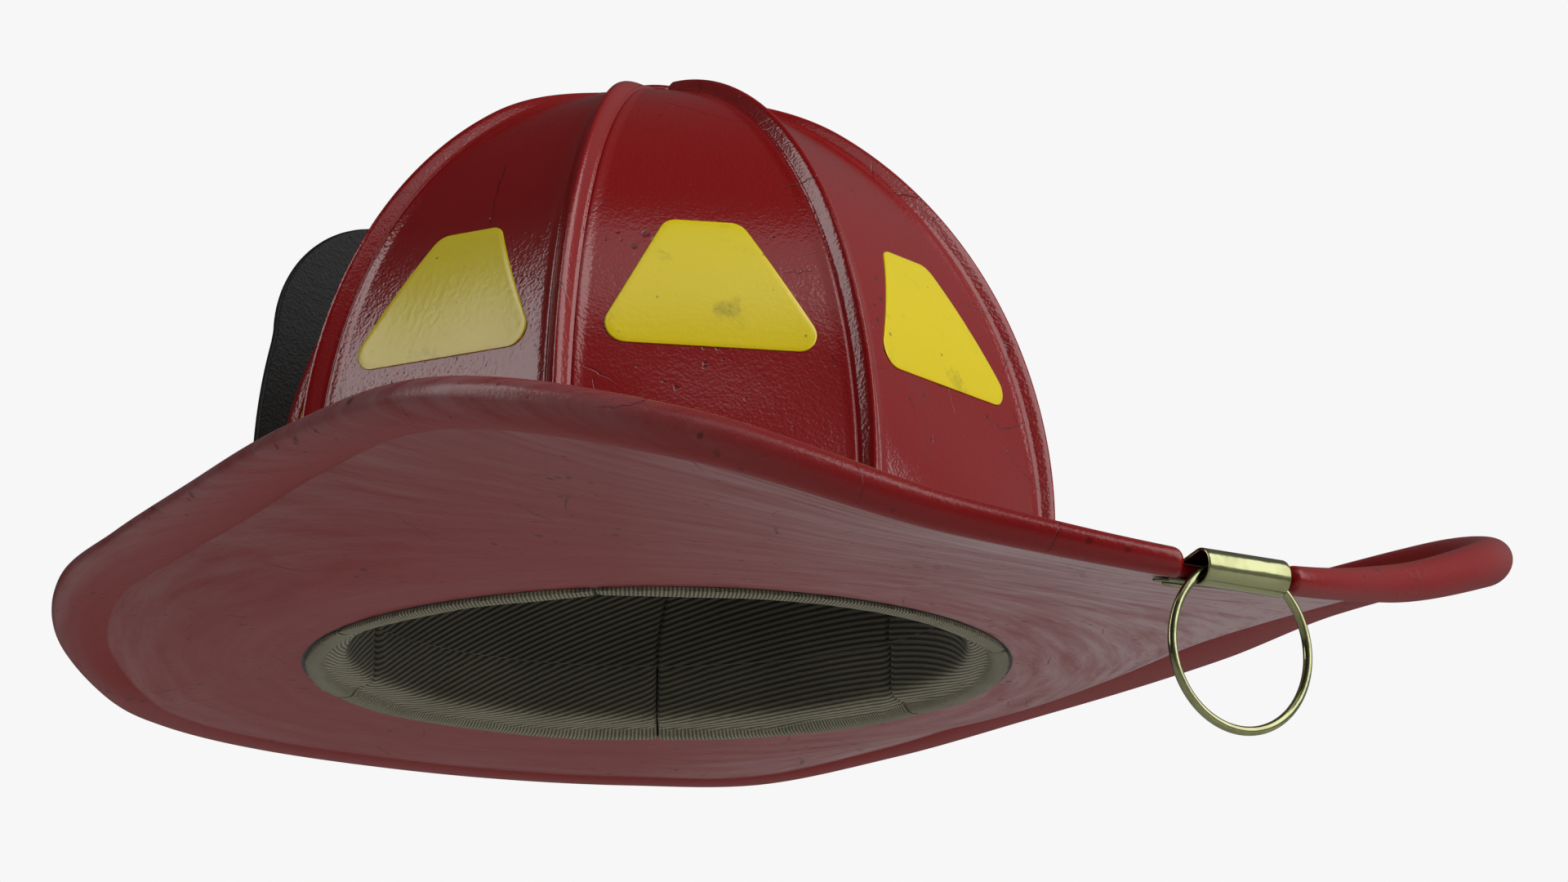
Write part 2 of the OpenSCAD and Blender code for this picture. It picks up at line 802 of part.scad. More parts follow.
module sweat_pad(from, to) {
    middle = (from + to) / 2;
    gap_turn = sweat_pad_gap / 2 / opening_half_width * 180 / PI;
    half = (to - from) / 2 - gap_turn;
    rows = [for (i = [0 : pad_steps])
        let (
            share = -cos(180 * i / pad_steps),
            turn = middle + half * share
        )
        [for (p = pad_row(share))
            let (place = head_spot(turn, headband_wall + soft_gap + p[0]))
            [place[0], place[1], p[1]]]
    ];
    color(pad_olive)
        run_of(rows);
}

for (n = [1 : panel_count])
    crown_panel(n);
for (n = [0 : panel_count - 1])
    comb(n);
comb_pad();
for (n = [1 : panel_count])
    reflective_patch(n);
brim();
front_shield();
shield_bracket();
bracket_rivets();
shield_screws();
shield_holder();
hanger_clip();
clip_eyelet();
hanger_ring();
impact_cap();
liner_dome();
headband();
sweat_pad(-pad_rear_end, pad_rear_end);  // sweat_pad_rear
sweat_pad(pad_rear_end, pad_side_end);  // sweat_pad_rear_left
sweat_pad(pad_side_end, pad_front_end);  // sweat_pad_front_left
sweat_pad(pad_front_end, 360 - pad_front_end);  // sweat_pad_front
sweat_pad(360 - pad_front_end, 360 - pad_side_end);  // sweat_pad_front_right
sweat_pad(360 - pad_side_end, 360 - pad_rear_end);  // sweat_pad_rear_right
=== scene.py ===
"""Looks of a traditional leather firefighter helmet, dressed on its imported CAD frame.

The row frame is in metres: +Z is up, the front faces -Y and the wearer's left is +X.
Sizes below are in millimetres, as on a workshop drawing, and every mesh is scaled once when it is made.
An angle called a turn is measured from the rear of the helmet, towards the wearer's left.
"""

import logging
import math
from dataclasses import dataclass, field
from enum import Enum

import bmesh
import bpy
import numpy as np
from mathutils import Matrix, Vector


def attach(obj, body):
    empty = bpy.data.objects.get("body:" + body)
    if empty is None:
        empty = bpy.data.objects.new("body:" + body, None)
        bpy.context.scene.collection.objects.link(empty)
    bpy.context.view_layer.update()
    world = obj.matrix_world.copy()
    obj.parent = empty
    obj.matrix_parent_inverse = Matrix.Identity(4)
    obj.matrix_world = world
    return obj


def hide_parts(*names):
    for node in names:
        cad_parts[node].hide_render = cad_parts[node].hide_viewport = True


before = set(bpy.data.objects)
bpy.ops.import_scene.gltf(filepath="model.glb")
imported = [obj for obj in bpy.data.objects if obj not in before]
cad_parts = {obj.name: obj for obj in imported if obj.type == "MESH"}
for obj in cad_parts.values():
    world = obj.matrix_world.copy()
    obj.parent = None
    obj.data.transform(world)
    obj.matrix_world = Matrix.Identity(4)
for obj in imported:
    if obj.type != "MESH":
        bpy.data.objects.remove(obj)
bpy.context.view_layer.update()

LOG = logging.getLogger("helmet")
MM = 0.001
Array = np.ndarray
Tree, Socket, Piece, Material = (bpy.types.NodeTree, bpy.types.NodeSocket, bpy.types.Object, bpy.types.Material)


class Slot(Enum):
    """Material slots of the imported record."""

    CROWN = "crown_leather"
    COMB = "comb_leather"
    BRIM = "brim_leather"
    SHEET = "reflective_sheet"
    SHIELD = "shield_leather"
    BRASS = "brass"
    FOAM = "foam"
    LINING = "lining"
    BAND = "band"
    CORDUROY = "corduroy"


class Body(Enum):
    """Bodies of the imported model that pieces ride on."""

    HELMET = "helmet"
    RING = "ring"


def linear(colour: str) -> tuple[float, float, float, float]:
    """Turns a colour written as #rrggbb in sRGB into linear light.

    Args:
        colour: hex colour as seen on screen.

    Returns:
        Red, green, blue and an alpha of 1.
    """
    rgb = np.array([int(colour[i:i + 2], 16) for i in (1, 3, 5)]) / 255
    light = np.where(rgb <= 0.04045, rgb / 12.92, ((rgb + 0.055) / 1.055) ** 2.4)
    return (*light.tolist(), 1.0)


def per_metre(size_mm: float) -> float:
    """Texture scale at which one feature of a pattern measures the given millimetres."""
    return 1 / (size_mm * MM)


def between(low: float, high: float) -> dict[str, float]:
    """Input values of a node that maps what lies between two numbers onto 0 to 1."""
    return {"From Min": low, "From Max": high}


def add(tree: Tree, kind: str, values: dict | None = None, links: dict | None = None,
        **settings: object) -> bpy.types.bpy_prop_collection:
    """Adds one shader node.

    Args:
        tree: node tree that gets the node.
        kind: node type without its ShaderNode prefix.
        values: input values by socket name or number.
        links: output sockets to join, by the input's name or number.
        settings: node properties.

    Returns:
        The new node's outputs.
    """
    node = tree.nodes.new("ShaderNode" + kind)
    for name, value in settings.items():
        setattr(node, name, value)
    for key, value in (values or {}).items():
        node.inputs[key].default_value = value
    for key, socket in (links or {}).items():
        tree.links.new(socket, node.inputs[key])
    return node.outputs


def new_material(name: str) -> tuple[Material, Tree]:
    """Starts an empty node material.

    Args:
        name: what the real material is.

    Returns:
        The material and its node tree.
    """
    material = bpy.data.materials.new(name)
    material.use_nodes = True
    material.node_tree.nodes.clear()
    return material, material.node_tree


@dataclass(frozen=True)
class Leather:
    """Lacquered leather: a colour coat over hide grain, with dust, pits and scratches.

    Attributes:
        dusty: colour where dust and rubbing have dulled it, which on the brim also paints a sheen.
        deep: colour in pits and hollows.
        ior: refraction of the coat, lower for dry leather.
        grain_mm: width of a hide cell; real grain of about 0.4 mm is too fine to show, so it is drawn coarser.
        crease_cells: width of the soft creases, in cells.
        blotch_mm: size of the dusty areas, of which dust says how much they cover, 0 to 1.
        dust_edge: noise at which dust begins and is full, and dust_more how much lower for full dust.
        ragged_mm: spacing of a shake of shake_mm that makes outlines ragged.
        pit_mm: spacing of the specks, of which the largest fills a share of pit_size.
        pit_edge: where a speck's edge begins and ends, as shares of its size.
        swarm: noise at which specks start to grow, and at which they are full; lone ones stay small.
        scratch_mm: sweep of a scratch, which follows the contour at scratch_level.
        scratch_edge: where its edge begins and ends, as heights from that contour.
        scratch_run: noise at which a kept stretch of it begins, and at which it is full.
        streak: noise at which a streak along the brim begins, and at which it is full.
        streak_mm: length of a streak, 0 for none.
        under: darker colour painted on as shade over the brim's underside and the roll by the crease, where
            there is one.
    """

    name: str
    colour: str
    dusty: str
    deep: str
    roughness: float
    ior: float = 1.5
    grain_mm: float = 0.9
    grain_depth_mm: float = 0.03
    crease_cells: float = 4.0
    blotch_mm: float = 55.0
    dust: float = 0.1
    dust_edge: tuple[float, float] = (0.66, 0.84)
    dust_more: tuple[float, float] = (0.3, 0.2)
    dust_roughness: float = 0.06
    ragged_mm: float = 3.0
    shake_mm: float = 1.6
    pit_mm: float = 4.0
    pit_size: float = 0.3
    pit_edge: tuple[float, float] = (1.1, 0.5)
    pit_depth_mm: float = 0.13
    swarm_mm: float = 28.0
    swarm: tuple[float, float] = (0.45, 0.7)
    lone: float = 0.15
    scratch: float = 0.6
    scratch_mm: float = 60.0
    scratch_level: float = 0.47
    scratch_edge: tuple[float, float] = (0.0022, 0.0006)
    scratch_run_mm: float = 24.0
    scratch_run: tuple[float, float] = (0.56, 0.66)
    scratch_seeds: tuple[float, ...] = (2.2, 6.4, 10.9, 14.1, 18.6)
    streak_mm: float = 0.0
    streak_wide_mm: float = 5.0
    streak: tuple[float, float] = (0.22, 0.68)
    under: str = ""
    under_roughness: float = 0.25

    def dusting(self, tree: Tree, place: Socket) -> Socket:
        """Dusty clouds, the upper part of a slow noise, and the film that lies in streaks round the brim, whose
        amount is partly a painted sheen.

        Args:
            tree: node tree of the material.
            place: coordinates on the piece.

        Returns:
            How dusty the surface is, 0 to 1; on the brim this includes a painted sheen.
        """
        blotch = add(tree, "TexNoise", {"Scale": per_metre(self.blotch_mm), "Detail": 6, "Roughness": 0.62},
                     {"Vector": place})["Fac"]
        edges = (edge - more * self.dust for edge, more in zip(self.dust_edge, self.dust_more))
        dust = add(tree, "MapRange", between(*edges), {"Value": blotch}, interpolation_type="SMOOTHSTEP")[0]
        if not self.streak_mm:
            return dust
        round_brim = add(tree, "UVMap", uv_map="Strip")["UV"]
        drawn = add(tree, "Mapping", {"Scale": (1 / self.streak_mm, 1 / self.streak_wide_mm, 1)},
                    {"Vector": round_brim})[0]
        noise = add(tree, "TexNoise", {"Scale": 1.0, "Detail": 5, "Roughness": 0.7}, {"Vector": drawn})
        spread = add(tree, "MapRange", between(*self.streak), {"Value": noise["Fac"]})[0]
        # The underside attribute holds dust together with a painted sheen, which the streaks break up.
        film = add(tree, "Attribute", attribute_name="underside")["Fac"]
        film = add(tree, "Math", {}, {0: film, 1: spread}, operation="MULTIPLY", use_clamp=True)[0]
        return add(tree, "Math", {}, {0: dust, 1: film}, operation="MAXIMUM")[0]

    def marks(self, tree: Tree, place: Socket, ragged: Socket) -> Socket:
        """Pits and scratches.

        A pit is the distance from the middle of a random cell over the pit's own size. A scratch is a thin
        contour line of a slow noise, of which a second noise keeps some stretches.

        Args:
            tree: node tree of the material.
            place: coordinates on the piece.
            ragged: the same coordinates, shaken.

        Returns:
            1 on a mark, 0 beside it.
        """
        cells = add(tree, "TexVoronoi", {"Scale": per_metre(self.pit_mm)}, {"Vector": ragged})
        size = add(tree, "SeparateColor", {}, {0: cells["Color"]})[0]
        dense = add(tree, "TexNoise", {"Scale": per_metre(self.swarm_mm), "Detail": 3},
                    {"Vector": place})["Fac"]
        dense = add(tree, "MapRange", between(*self.swarm) | {"To Min": self.lone}, {"Value": dense})[0]
        size = add(tree, "Math", {}, {0: size, 1: dense}, operation="MULTIPLY")[0]
        size = add(tree, "Math", {1: self.pit_size}, {0: size}, operation="MULTIPLY")[0]
        near = add(tree, "Math", {}, {0: cells["Distance"], 1: size}, operation="DIVIDE")[0]
        marks = add(tree, "MapRange", between(*self.pit_edge), {"Value": near},
                    interpolation_type="SMOOTHSTEP")[0]
        for seed in self.scratch_seeds:
            slow = add(tree, "TexNoise", {"Scale": per_metre(self.scratch_mm), "Detail": 0.0, "W": seed},
                       {"Vector": ragged}, noise_dimensions="4D")["Fac"]
            off = add(tree, "Math", {1: self.scratch_level}, {0: slow}, operation="SUBTRACT")[0]
            off = add(tree, "Math", {}, {0: off}, operation="ABSOLUTE")[0]
            line = add(tree, "MapRange", between(*self.scratch_edge), {"Value": off})[0]
            some = add(tree, "TexNoise",
                       {"Scale": per_metre(self.scratch_run_mm), "Detail": 1.0, "W": seed + 2},
                       {"Vector": place}, noise_dimensions="4D")["Fac"]
            some = add(tree, "MapRange", between(*self.scratch_run), {"Value": some})[0]
            line = add(tree, "Math", {}, {0: line, 1: some}, operation="MULTIPLY")[0]
            marks = add(tree, "Math", {}, {0: marks, 1: line}, operation="MAXIMUM")[0]
        return marks

    def relief(self, tree: Tree, place: Socket, ragged: Socket, worn: Socket) -> Socket:
        """Bumps of the surface: hide cells, soft creases over them, and the marks cut into both.

        Args:
            tree: node tree of the material.
            place: coordinates on the piece.
            ragged: the same coordinates, shaken.
            worn: strength of the marks.

        Returns:
            The surface's normal.
        """
        cells = add(tree, "TexVoronoi", {"Scale": per_metre(self.grain_mm), "Smoothness": 0.4},
                    {"Vector": ragged}, feature="SMOOTH_F1")["Distance"]
        creases = add(tree, "TexNoise", {"Scale": per_metre(self.crease_cells * self.grain_mm), "Detail": 3,
                                         "Distortion": 0.6}, {"Vector": place})["Fac"]
        normal = add(tree, "Bump", {"Strength": 1.0, "Distance": self.grain_depth_mm * MM}, {"Height": cells})
        normal = add(tree, "Bump", {"Strength": 1.0, "Distance": 1.5 * self.grain_depth_mm * MM},
                     {"Height": creases, "Normal": normal[0]})
        normal = add(tree, "Bump", {"Strength": 0.7, "Distance": self.pit_depth_mm * MM},
                     {"Height": worn, "Normal": normal[0]}, invert=True)
        return normal[0]

    def build(self) -> Material:
        """Makes the material: lacquer colour, dust, streaks, pits, scratches and grain.

        Returns:
            The new material.
        """
        # Hide dyed and coated with lacquer, then worn: dust greys the colour in clouds, small knocks leave dark
        # pits, and thin scratches wander over it. The fine grain breaks up each reflection, which tells the eye
        # that it is leather.
        material, tree = new_material(self.name)
        place = add(tree, "TexCoord")["Object"]
        shake = add(tree, "TexNoise", {"Scale": per_metre(self.ragged_mm), "Detail": 2}, {"Vector": place})
        ragged = add(tree, "VectorMath", {1: (self.shake_mm * MM,) * 3}, {0: shake["Color"], 2: place},
                     operation="MULTIPLY_ADD")[0]
        dust = self.dusting(tree, place)
        coat = {}
        # On the brim the shade attribute mixes in the under colour as painted shade, on the underside and the
        # roll by the crease.
        if self.streak_mm:
            painted_shade = add(tree, "Attribute", attribute_name="shade")["Fac"]
            coat[6] = add(tree, "Mix", {6: linear(self.colour), 7: linear(self.under)}, {0: painted_shade},
                          data_type="RGBA")[2]
        tone = add(tree, "Mix", {6: linear(self.colour), 7: linear(self.dusty)}, {0: dust} | coat,
                   data_type="RGBA")[2]
        worn = add(tree, "Math", {1: self.scratch}, {0: self.marks(tree, place, ragged)},
                   operation="MULTIPLY")[0]
        colour = add(tree, "Mix", {7: linear(self.deep)}, {0: worn, 6: tone}, data_type="RGBA")[2]
        rough = self.roughness
        gloss = add(tree, "MapRange", {"To Min": rough, "To Max": rough + self.dust_roughness},
                    {"Value": dust})[0]
        if self.streak_mm:
            gloss = add(tree, "Math", {1: self.under_roughness}, {0: painted_shade, 2: gloss},
                        operation="MULTIPLY_ADD")[0]
        normal = self.relief(tree, place, ragged, worn)
        shader = add(tree, "BsdfPrincipled", {"IOR": self.ior},
                     {"Base Color": colour, "Roughness": gloss, "Normal": normal})
        add(tree, "OutputMaterial", {}, {"Surface": shader[0]})
        return material


@dataclass(frozen=True)
class ReflectiveSheet:
    """Lime yellow retroreflective film: a flat bright colour with finger grime and tiny dents."""

    name: str = "Reflective film, lime yellow"
    colour: str = "#f0da0c"
    grime: str = "#6e6420"
    roughness: float = 0.2
    ior: float = 1.49
    grime_mm: float = 16.0
    grimy: tuple[float, float] = (0.56, 0.80)
    grime_most: float = 0.75
    speck_mm: float = 7.0
    speck_size: float = 0.09
    speck_edge: tuple[float, float] = (1.1, 0.6)
    speck_most: float = 0.7
    dent_mm: float = 1.6
    dent_depth_mm: float = 0.05

    def build(self) -> Material:
        """Makes the material: yellow film, smudges, specks and a slightly uneven glue line.

        Returns:
            The new material.
        """
        # Film cast flat with beads under a clear face, and glued on: one even, bright yellow with a clear gloss
        # over it. Fingers leave smudges, knocks leave specks, and the uneven glue ripples the glare.
        material, tree = new_material(self.name)
        place = add(tree, "TexCoord")["Object"]
        smudge = add(tree, "TexNoise", {"Scale": per_metre(self.grime_mm), "Detail": 9, "Roughness": 0.72},
                     {"Vector": place})["Fac"]
        dirt = add(tree, "MapRange", between(*self.grimy) | {"To Max": self.grime_most}, {"Value": smudge},
                   interpolation_type="SMOOTHSTEP")[0]
        cells = add(tree, "TexVoronoi", {"Scale": per_metre(self.speck_mm)}, {"Vector": place})
        size = add(tree, "SeparateColor", {}, {0: cells["Color"]})[0]
        size = add(tree, "Math", {1: self.speck_size}, {0: size}, operation="MULTIPLY")[0]
        near = add(tree, "Math", {}, {0: cells["Distance"], 1: size}, operation="DIVIDE")[0]
        speck = add(tree, "MapRange", between(*self.speck_edge) | {"To Max": self.speck_most},
                    {"Value": near})[0]
        dirt = add(tree, "Math", {}, {0: dirt, 1: speck}, operation="MAXIMUM")[0]
        colour = add(tree, "Mix", {6: linear(self.colour), 7: linear(self.grime)}, {0: dirt}, data_type="RGBA")
        uneven = add(tree, "TexNoise", {"Scale": per_metre(self.dent_mm), "Detail": 3}, {"Vector": place})
        normal = add(tree, "Bump", {"Strength": 1.0, "Distance": self.dent_depth_mm * MM},
                     {"Height": uneven["Fac"]})
        film = add(tree, "BsdfPrincipled", {"Roughness": self.roughness, "IOR": self.ior},
                   {"Base Color": colour[2], "Normal": normal[0]})
        add(tree, "OutputMaterial", {}, {"Surface": film[0]})
        return material


@dataclass(frozen=True)
class Brass:
    """Pale brass sheet and wire, buffed by handling: mirror bands made wavy by small dents."""

    name: str = "Pale brass, buffed"
    colour: str = "#94966f"
    tarnish: str = "#676641"
    roughness: float = 0.17
    tarnish_mm: float = 9.0
    tarnished: tuple[float, float] = (0.5, 0.75)
    tarnish_most: float = 0.6
    tarnish_roughness: float = 0.15
    dent_mm: float = 5.0
    dent_depth_mm: float = 0.16

    def build(self) -> Material:
        """Makes the material: metal tone, faint tarnish and shallow dents.

        Returns:
            The new material.
        """
        # Sheet and wire drawn, bent to shape and then buffed by hands: long pale and dark bands of the room,
        # made wavy by shallow dents, with a dull olive tarnish where nothing rubs.
        material, tree = new_material(self.name)
        place = add(tree, "TexCoord")["Object"]
        cloud = add(tree, "TexNoise", {"Scale": per_metre(self.tarnish_mm), "Detail": 6}, {"Vector": place})
        dull = add(tree, "MapRange", between(*self.tarnished) | {"To Max": self.tarnish_most},
                   {"Value": cloud["Fac"]})[0]
        colour = add(tree, "Mix", {6: linear(self.colour), 7: linear(self.tarnish)}, {0: dull},
                     data_type="RGBA")
        rough = self.roughness
        gloss = add(tree, "MapRange", {"To Min": rough, "To Max": rough + self.tarnish_roughness},
                    {"Value": dull})[0]
        dents = add(tree, "TexNoise", {"Scale": per_metre(self.dent_mm), "Detail": 2}, {"Vector": place})
        normal = add(tree, "Bump", {"Strength": 1.0, "Distance": self.dent_depth_mm * MM},
                     {"Height": dents["Fac"]})
        metal = add(tree, "BsdfPrincipled", {"Metallic": 1.0},
                    {"Base Color": colour[2], "Roughness": gloss, "Normal": normal[0]})
        add(tree, "OutputMaterial", {}, {"Surface": metal[0]})
        return material


@dataclass(frozen=True)
class Corduroy:
    """Woven cotton corduroy: soft ribs with valleys painted darker as shade, and a faint fuzz.

    Four attributes of the mesh lead it: cord is the distance in millimetres across the ribs, along is the
    distance along the rim, roll is 1 on the rim's roll, where the ribs cross the rim instead, and deep is 1 on
    the wall inside, where the cloth is painted darker as shade.
    Ribs of 0.8 mm on the rim are too fine to show, so they are drawn coarser.
    """

    name: str
    colour: str
    painted_valley_shade: str
    rib_mm: float
    rim_rib_mm: float = 1.05
    rib_rise: tuple[float, float] = (-1.0, 0.7)
    rib_depth_mm: float = 0.30
    wall_shade_share: float = 0.48
    wear_mm: float = 25.0
    worn: tuple[float, float] = (0.85, 1.1)
    fuzz_mm: float = 0.7
    fuzz_depth_mm: float = 0.08
    roughness: float = 0.92

    def build(self) -> Material:
        """Makes the material: two sets of ribs from the attributes, dark valleys, wear and fuzz.

        Returns:
            The new material.
        """
        # Cotton woven with raised cords of cut pile. Each rib is a sine of its distance, so light catches one
        # flank; the valleys and the wall inside are painted darker as shade, and the fuzz takes away any shine,
        # as on the cloth.
        material, tree = new_material(self.name)
        place = add(tree, "TexCoord")["Object"]
        ribs = []
        for distance, pitch in (("cord", self.rib_mm), ("along", self.rim_rib_mm)):
            across = add(tree, "Attribute", attribute_name=distance)["Fac"]
            phase = add(tree, "Math", {1: 2 * math.pi / pitch}, {0: across}, operation="MULTIPLY")[0]
            wave = add(tree, "Math", {}, {0: phase}, operation="SINE")[0]
            ribs.append(add(tree, "MapRange", between(*self.rib_rise), {"Value": wave},
                            interpolation_type="SMOOTHSTEP")[0])
        roll, deep = (add(tree, "Attribute", attribute_name=name)["Fac"] for name in ("roll", "deep"))
        rib = add(tree, "Mix", {}, {0: roll, 2: ribs[0], 3: ribs[1]}, data_type="FLOAT")[0]
        # The valleys between ribs are painted darker, as shade.
        tone = add(tree, "Mix", {6: linear(self.painted_valley_shade), 7: linear(self.colour)}, {0: rib}, data_type="RGBA")
        wear, fuzz = (add(tree, "TexNoise", {"Scale": per_metre(size), "Detail": detail},
                          {"Vector": place})["Fac"]
                      for size, detail in ((self.wear_mm, 4), (self.fuzz_mm, 3)))
        shade = add(tree, "MapRange", between(0.3, 0.7) | {"To Min": self.worn[0], "To Max": self.worn[1]},
                    {"Value": wear})[0]
        # Painted shade: deep darkens the wall inside and the lining.
        dim = add(tree, "MapRange", {"To Min": 1.0, "To Max": self.wall_shade_share}, {"Value": deep})[0]
        shade = add(tree, "Math", {}, {0: shade, 1: dim}, operation="MULTIPLY")[0]
        colour = add(tree, "VectorMath", {}, {0: tone[2], 1: shade}, operation="MULTIPLY")[0]
        normal = add(tree, "Bump", {"Strength": 1.0, "Distance": self.rib_depth_mm * MM}, {"Height": rib})
        normal = add(tree, "Bump", {"Strength": 0.5, "Distance": self.fuzz_depth_mm * MM},
                     {"Height": fuzz, "Normal": normal[0]})
        soft = {"Roughness": self.roughness, "IOR": 1.45, "Specular IOR Level": 0.25, "Sheen Weight": 0.1,
                "Sheen Roughness": 0.5}
        cloth = add(tree, "BsdfPrincipled", soft, {"Base Color": colour, "Normal": normal[0]})
        add(tree, "OutputMaterial", {}, {"Surface": cloth[0]})
        return material


@dataclass(frozen=True)
class Moulding:
    """Moulded plastic, foamed or solid: one colour with a fine skin of beads or moulding grain."""

    name: str
    colour: str
    bead: str
    roughness: float
    bead_mm: float
    bead_depth_mm: float
    ior: float = 1.49

    def build(self) -> Material:
        """Makes the material: bead pattern in colour and relief.

        Returns:
            The new material.
        """
        # Shot into a mould, so the skin keeps the tool's fine grain, or the outlines of its beads where it is
        # foamed: an even, matt tone made of small round cells that each catch a little light.
        material, tree = new_material(self.name)
        place = add(tree, "TexCoord")["Object"]
        beads = add(tree, "TexVoronoi", {"Scale": per_metre(self.bead_mm)}, {"Vector": place})["Distance"]
        colour = add(tree, "Mix", {6: linear(self.colour), 7: linear(self.bead)}, {0: beads}, data_type="RGBA")
        normal = add(tree, "Bump", {"Strength": 1.0, "Distance": self.bead_depth_mm * MM}, {"Height": beads},
                     invert=True)
        plastic = add(tree, "BsdfPrincipled", {"Roughness": self.roughness, "IOR": self.ior},
                      {"Base Color": colour[2], "Normal": normal[0]})
        add(tree, "OutputMaterial", {}, {"Surface": plastic[0]})
        return material


def smoothstep(low: float, high: float, value: Array) -> Array:
    """Rises from 0 to 1 between two values, level at both ends: 3t^2 - 2t^3."""
    t = np.clip((value - low) / (high - low), 0, 1)
    return t * t * (3 - 2 * t)


def through(stations: tuple[float, ...], turn: Array) -> Array:
    """Smooth curve through stations spaced evenly from the rear to the front, mirrored at both ends.

    Between two stations it is the cubic that leaves each with the slope of its neighbours' chord.

    Args:
        stations: values from the rear (first) to the front (last).
        turn: angles from the rear, in degrees.

    Returns:
        The value at each angle.
    """
    last = len(stations) - 1
    t = np.mod(turn, 360)
    t = np.where(t > 180, 360 - t, t) / 180 * last
    i = np.minimum(t.astype(int), last - 1)
    u = t - i
    a, b, c, d = (np.asarray(stations)[np.where(k < 0, -k, np.where(k > last, 2 * last - k, k))]
                  for k in (i - 1, i, i + 1, i + 2))
    return b + 0.5 * u * (c - a + u * (2 * a - 5 * b + 4 * c - d + u * (3 * (b - c) + d - a)))


def resampled(points: Array, count: int, closed: bool = True) -> Array:
    """Spaces points evenly along a polyline.

    Args:
        points: corners of the line, one row each.
        count: number of points wanted.
        closed: whether the last corner joins the first.

    Returns:
        The evenly spaced points.
    """
    line = np.vstack([points, points[:1]]) if closed else points
    run = np.concatenate([[0], np.cumsum(np.linalg.norm(np.diff(line, axis=0), axis=1))])
    at = np.linspace(0, run[-1], count, endpoint=not closed)
    return np.stack([np.interp(at, run, line[:, k]) for k in range(line.shape[1])], axis=1)


def arc(centre: tuple[float, float], radius: float, start: float, end: float, count: int) -> Array:
    """Points on a circular arc between two angles in degrees."""
    a = np.radians(np.linspace(start, end, count))
    return np.stack([centre[0] + radius * np.cos(a), centre[1] + radius * np.sin(a)], axis=1)


def looped(there: tuple[Array, Array], back: tuple[Array, Array]) -> tuple[Array, Array]:
    """Joins two curves, each its distances and heights, into one closed section."""
    return tuple(np.concatenate([a, b[::-1]]) for a, b in zip(there, back))


def turned(angle: Array | float, out: Array, height: Array, across: Array | float = 0.0) -> Array:
    """Places points in a frame that is turned about the crown's axis.

    Args:
        angle: angle of the frame's outward direction from +X, in degrees.
        out: distance outwards.
        height: distance up.
        across: distance sideways, towards growing angles.

    Returns:
        Points, with x, y and z in the last axis.
    """
    a = np.radians(angle)
    return np.stack(np.broadcast_arrays(out * np.cos(a) - across * np.sin(a),
                                        out * np.sin(a) + across * np.cos(a), height), axis=-1)


def skin(name: str, points: Array, ring: bool = False, strip: Array | None = None,
         attributes: dict[str, Array] | None = None, sharp: float = 42.0) -> Piece:
    """Makes a closed mesh over a run of closed sections, and turns its faces outwards.

    Quads join each section to the next. A run that isn't a ring gets a flat cap at both ends.

    Args:
        name: the piece's name.
        points: grid of points in millimetres, sections by points by xyz.
        ring: whether the last section joins the first.
        strip: grid of two coordinates for a UV map called Strip, one larger than points both ways.
        attributes: grids of numbers kept on the points.
        sharp: edges steeper than this angle in degrees stay crisp.

    Returns:
        The new object, at the origin.
    """
    rows, columns = points.shape[:2]
    index = np.arange(rows * columns).reshape(rows, columns)
    i, j = np.meshgrid(np.arange(rows if ring else rows - 1), np.arange(columns), indexing="ij")
    corner = [(i, j), (i + 1, j), (i + 1, j + 1), (i, j + 1)]
    quads = np.stack([index[a % rows, b % columns] for a, b in corner], axis=-1).reshape(-1, 4)
    flat = points.reshape(-1, 3)
    p0, p1, p2, p3 = (flat[quads[:, k]] - flat.mean(0) for k in range(4))
    volume = np.einsum("ij,ij->", p0, np.cross(p1, p2)) + np.einsum("ij,ij->", p0, np.cross(p2, p3))
    order = slice(None, None, -1) if volume < 0 else slice(None)
    loops = [quads[:, order].ravel()]
    starts = np.arange(len(quads)) * 4
    if not ring:
        first, last = (index[0], index[-1][::-1]) if volume > 0 else (index[0][::-1], index[-1])
        loops += [first, last]
        starts = np.append(starts, [4 * len(quads), 4 * len(quads) + columns])
    loops = np.concatenate(loops)
    mesh = bpy.data.meshes.new(name)
    mesh.vertices.add(rows * columns)
    mesh.vertices.foreach_set("co", (flat * MM).astype(np.float32).ravel())
    mesh.loops.add(len(loops))
    mesh.loops.foreach_set("vertex_index", loops.astype(np.int32))
    mesh.polygons.add(len(starts))
    mesh.polygons.foreach_set("loop_start", starts.astype(np.int32))
    if strip is not None:
        uv = np.stack([strip[a, b] for a, b in corner], axis=2).reshape(-1, 4, 2)[:, order].reshape(-1, 2)
        uv = np.concatenate([uv, np.zeros((len(loops) - len(uv), 2))])
        mesh.uv_layers.new(name="Strip").data.foreach_set("uv", uv.astype(np.float32).ravel())
    for key, value in (attributes or {}).items():
        grid = np.broadcast_to(value, (rows, columns)).astype(np.float32)
        mesh.attributes.new(key, "FLOAT", "POINT").data.foreach_set("value", grid.ravel())
    mesh.update(calc_edges=True)
    welded = bmesh.new()
    welded.from_mesh(mesh)
    bmesh.ops.remove_doubles(welded, verts=welded.verts, dist=1e-6)
    welded.to_mesh(mesh)
    welded.free()
    mesh.shade_smooth()
    mesh.set_sharp_from_angle(angle=math.radians(sharp))
    piece = bpy.data.objects.new(name, mesh)
    bpy.context.scene.collection.objects.link(piece)
    return piece


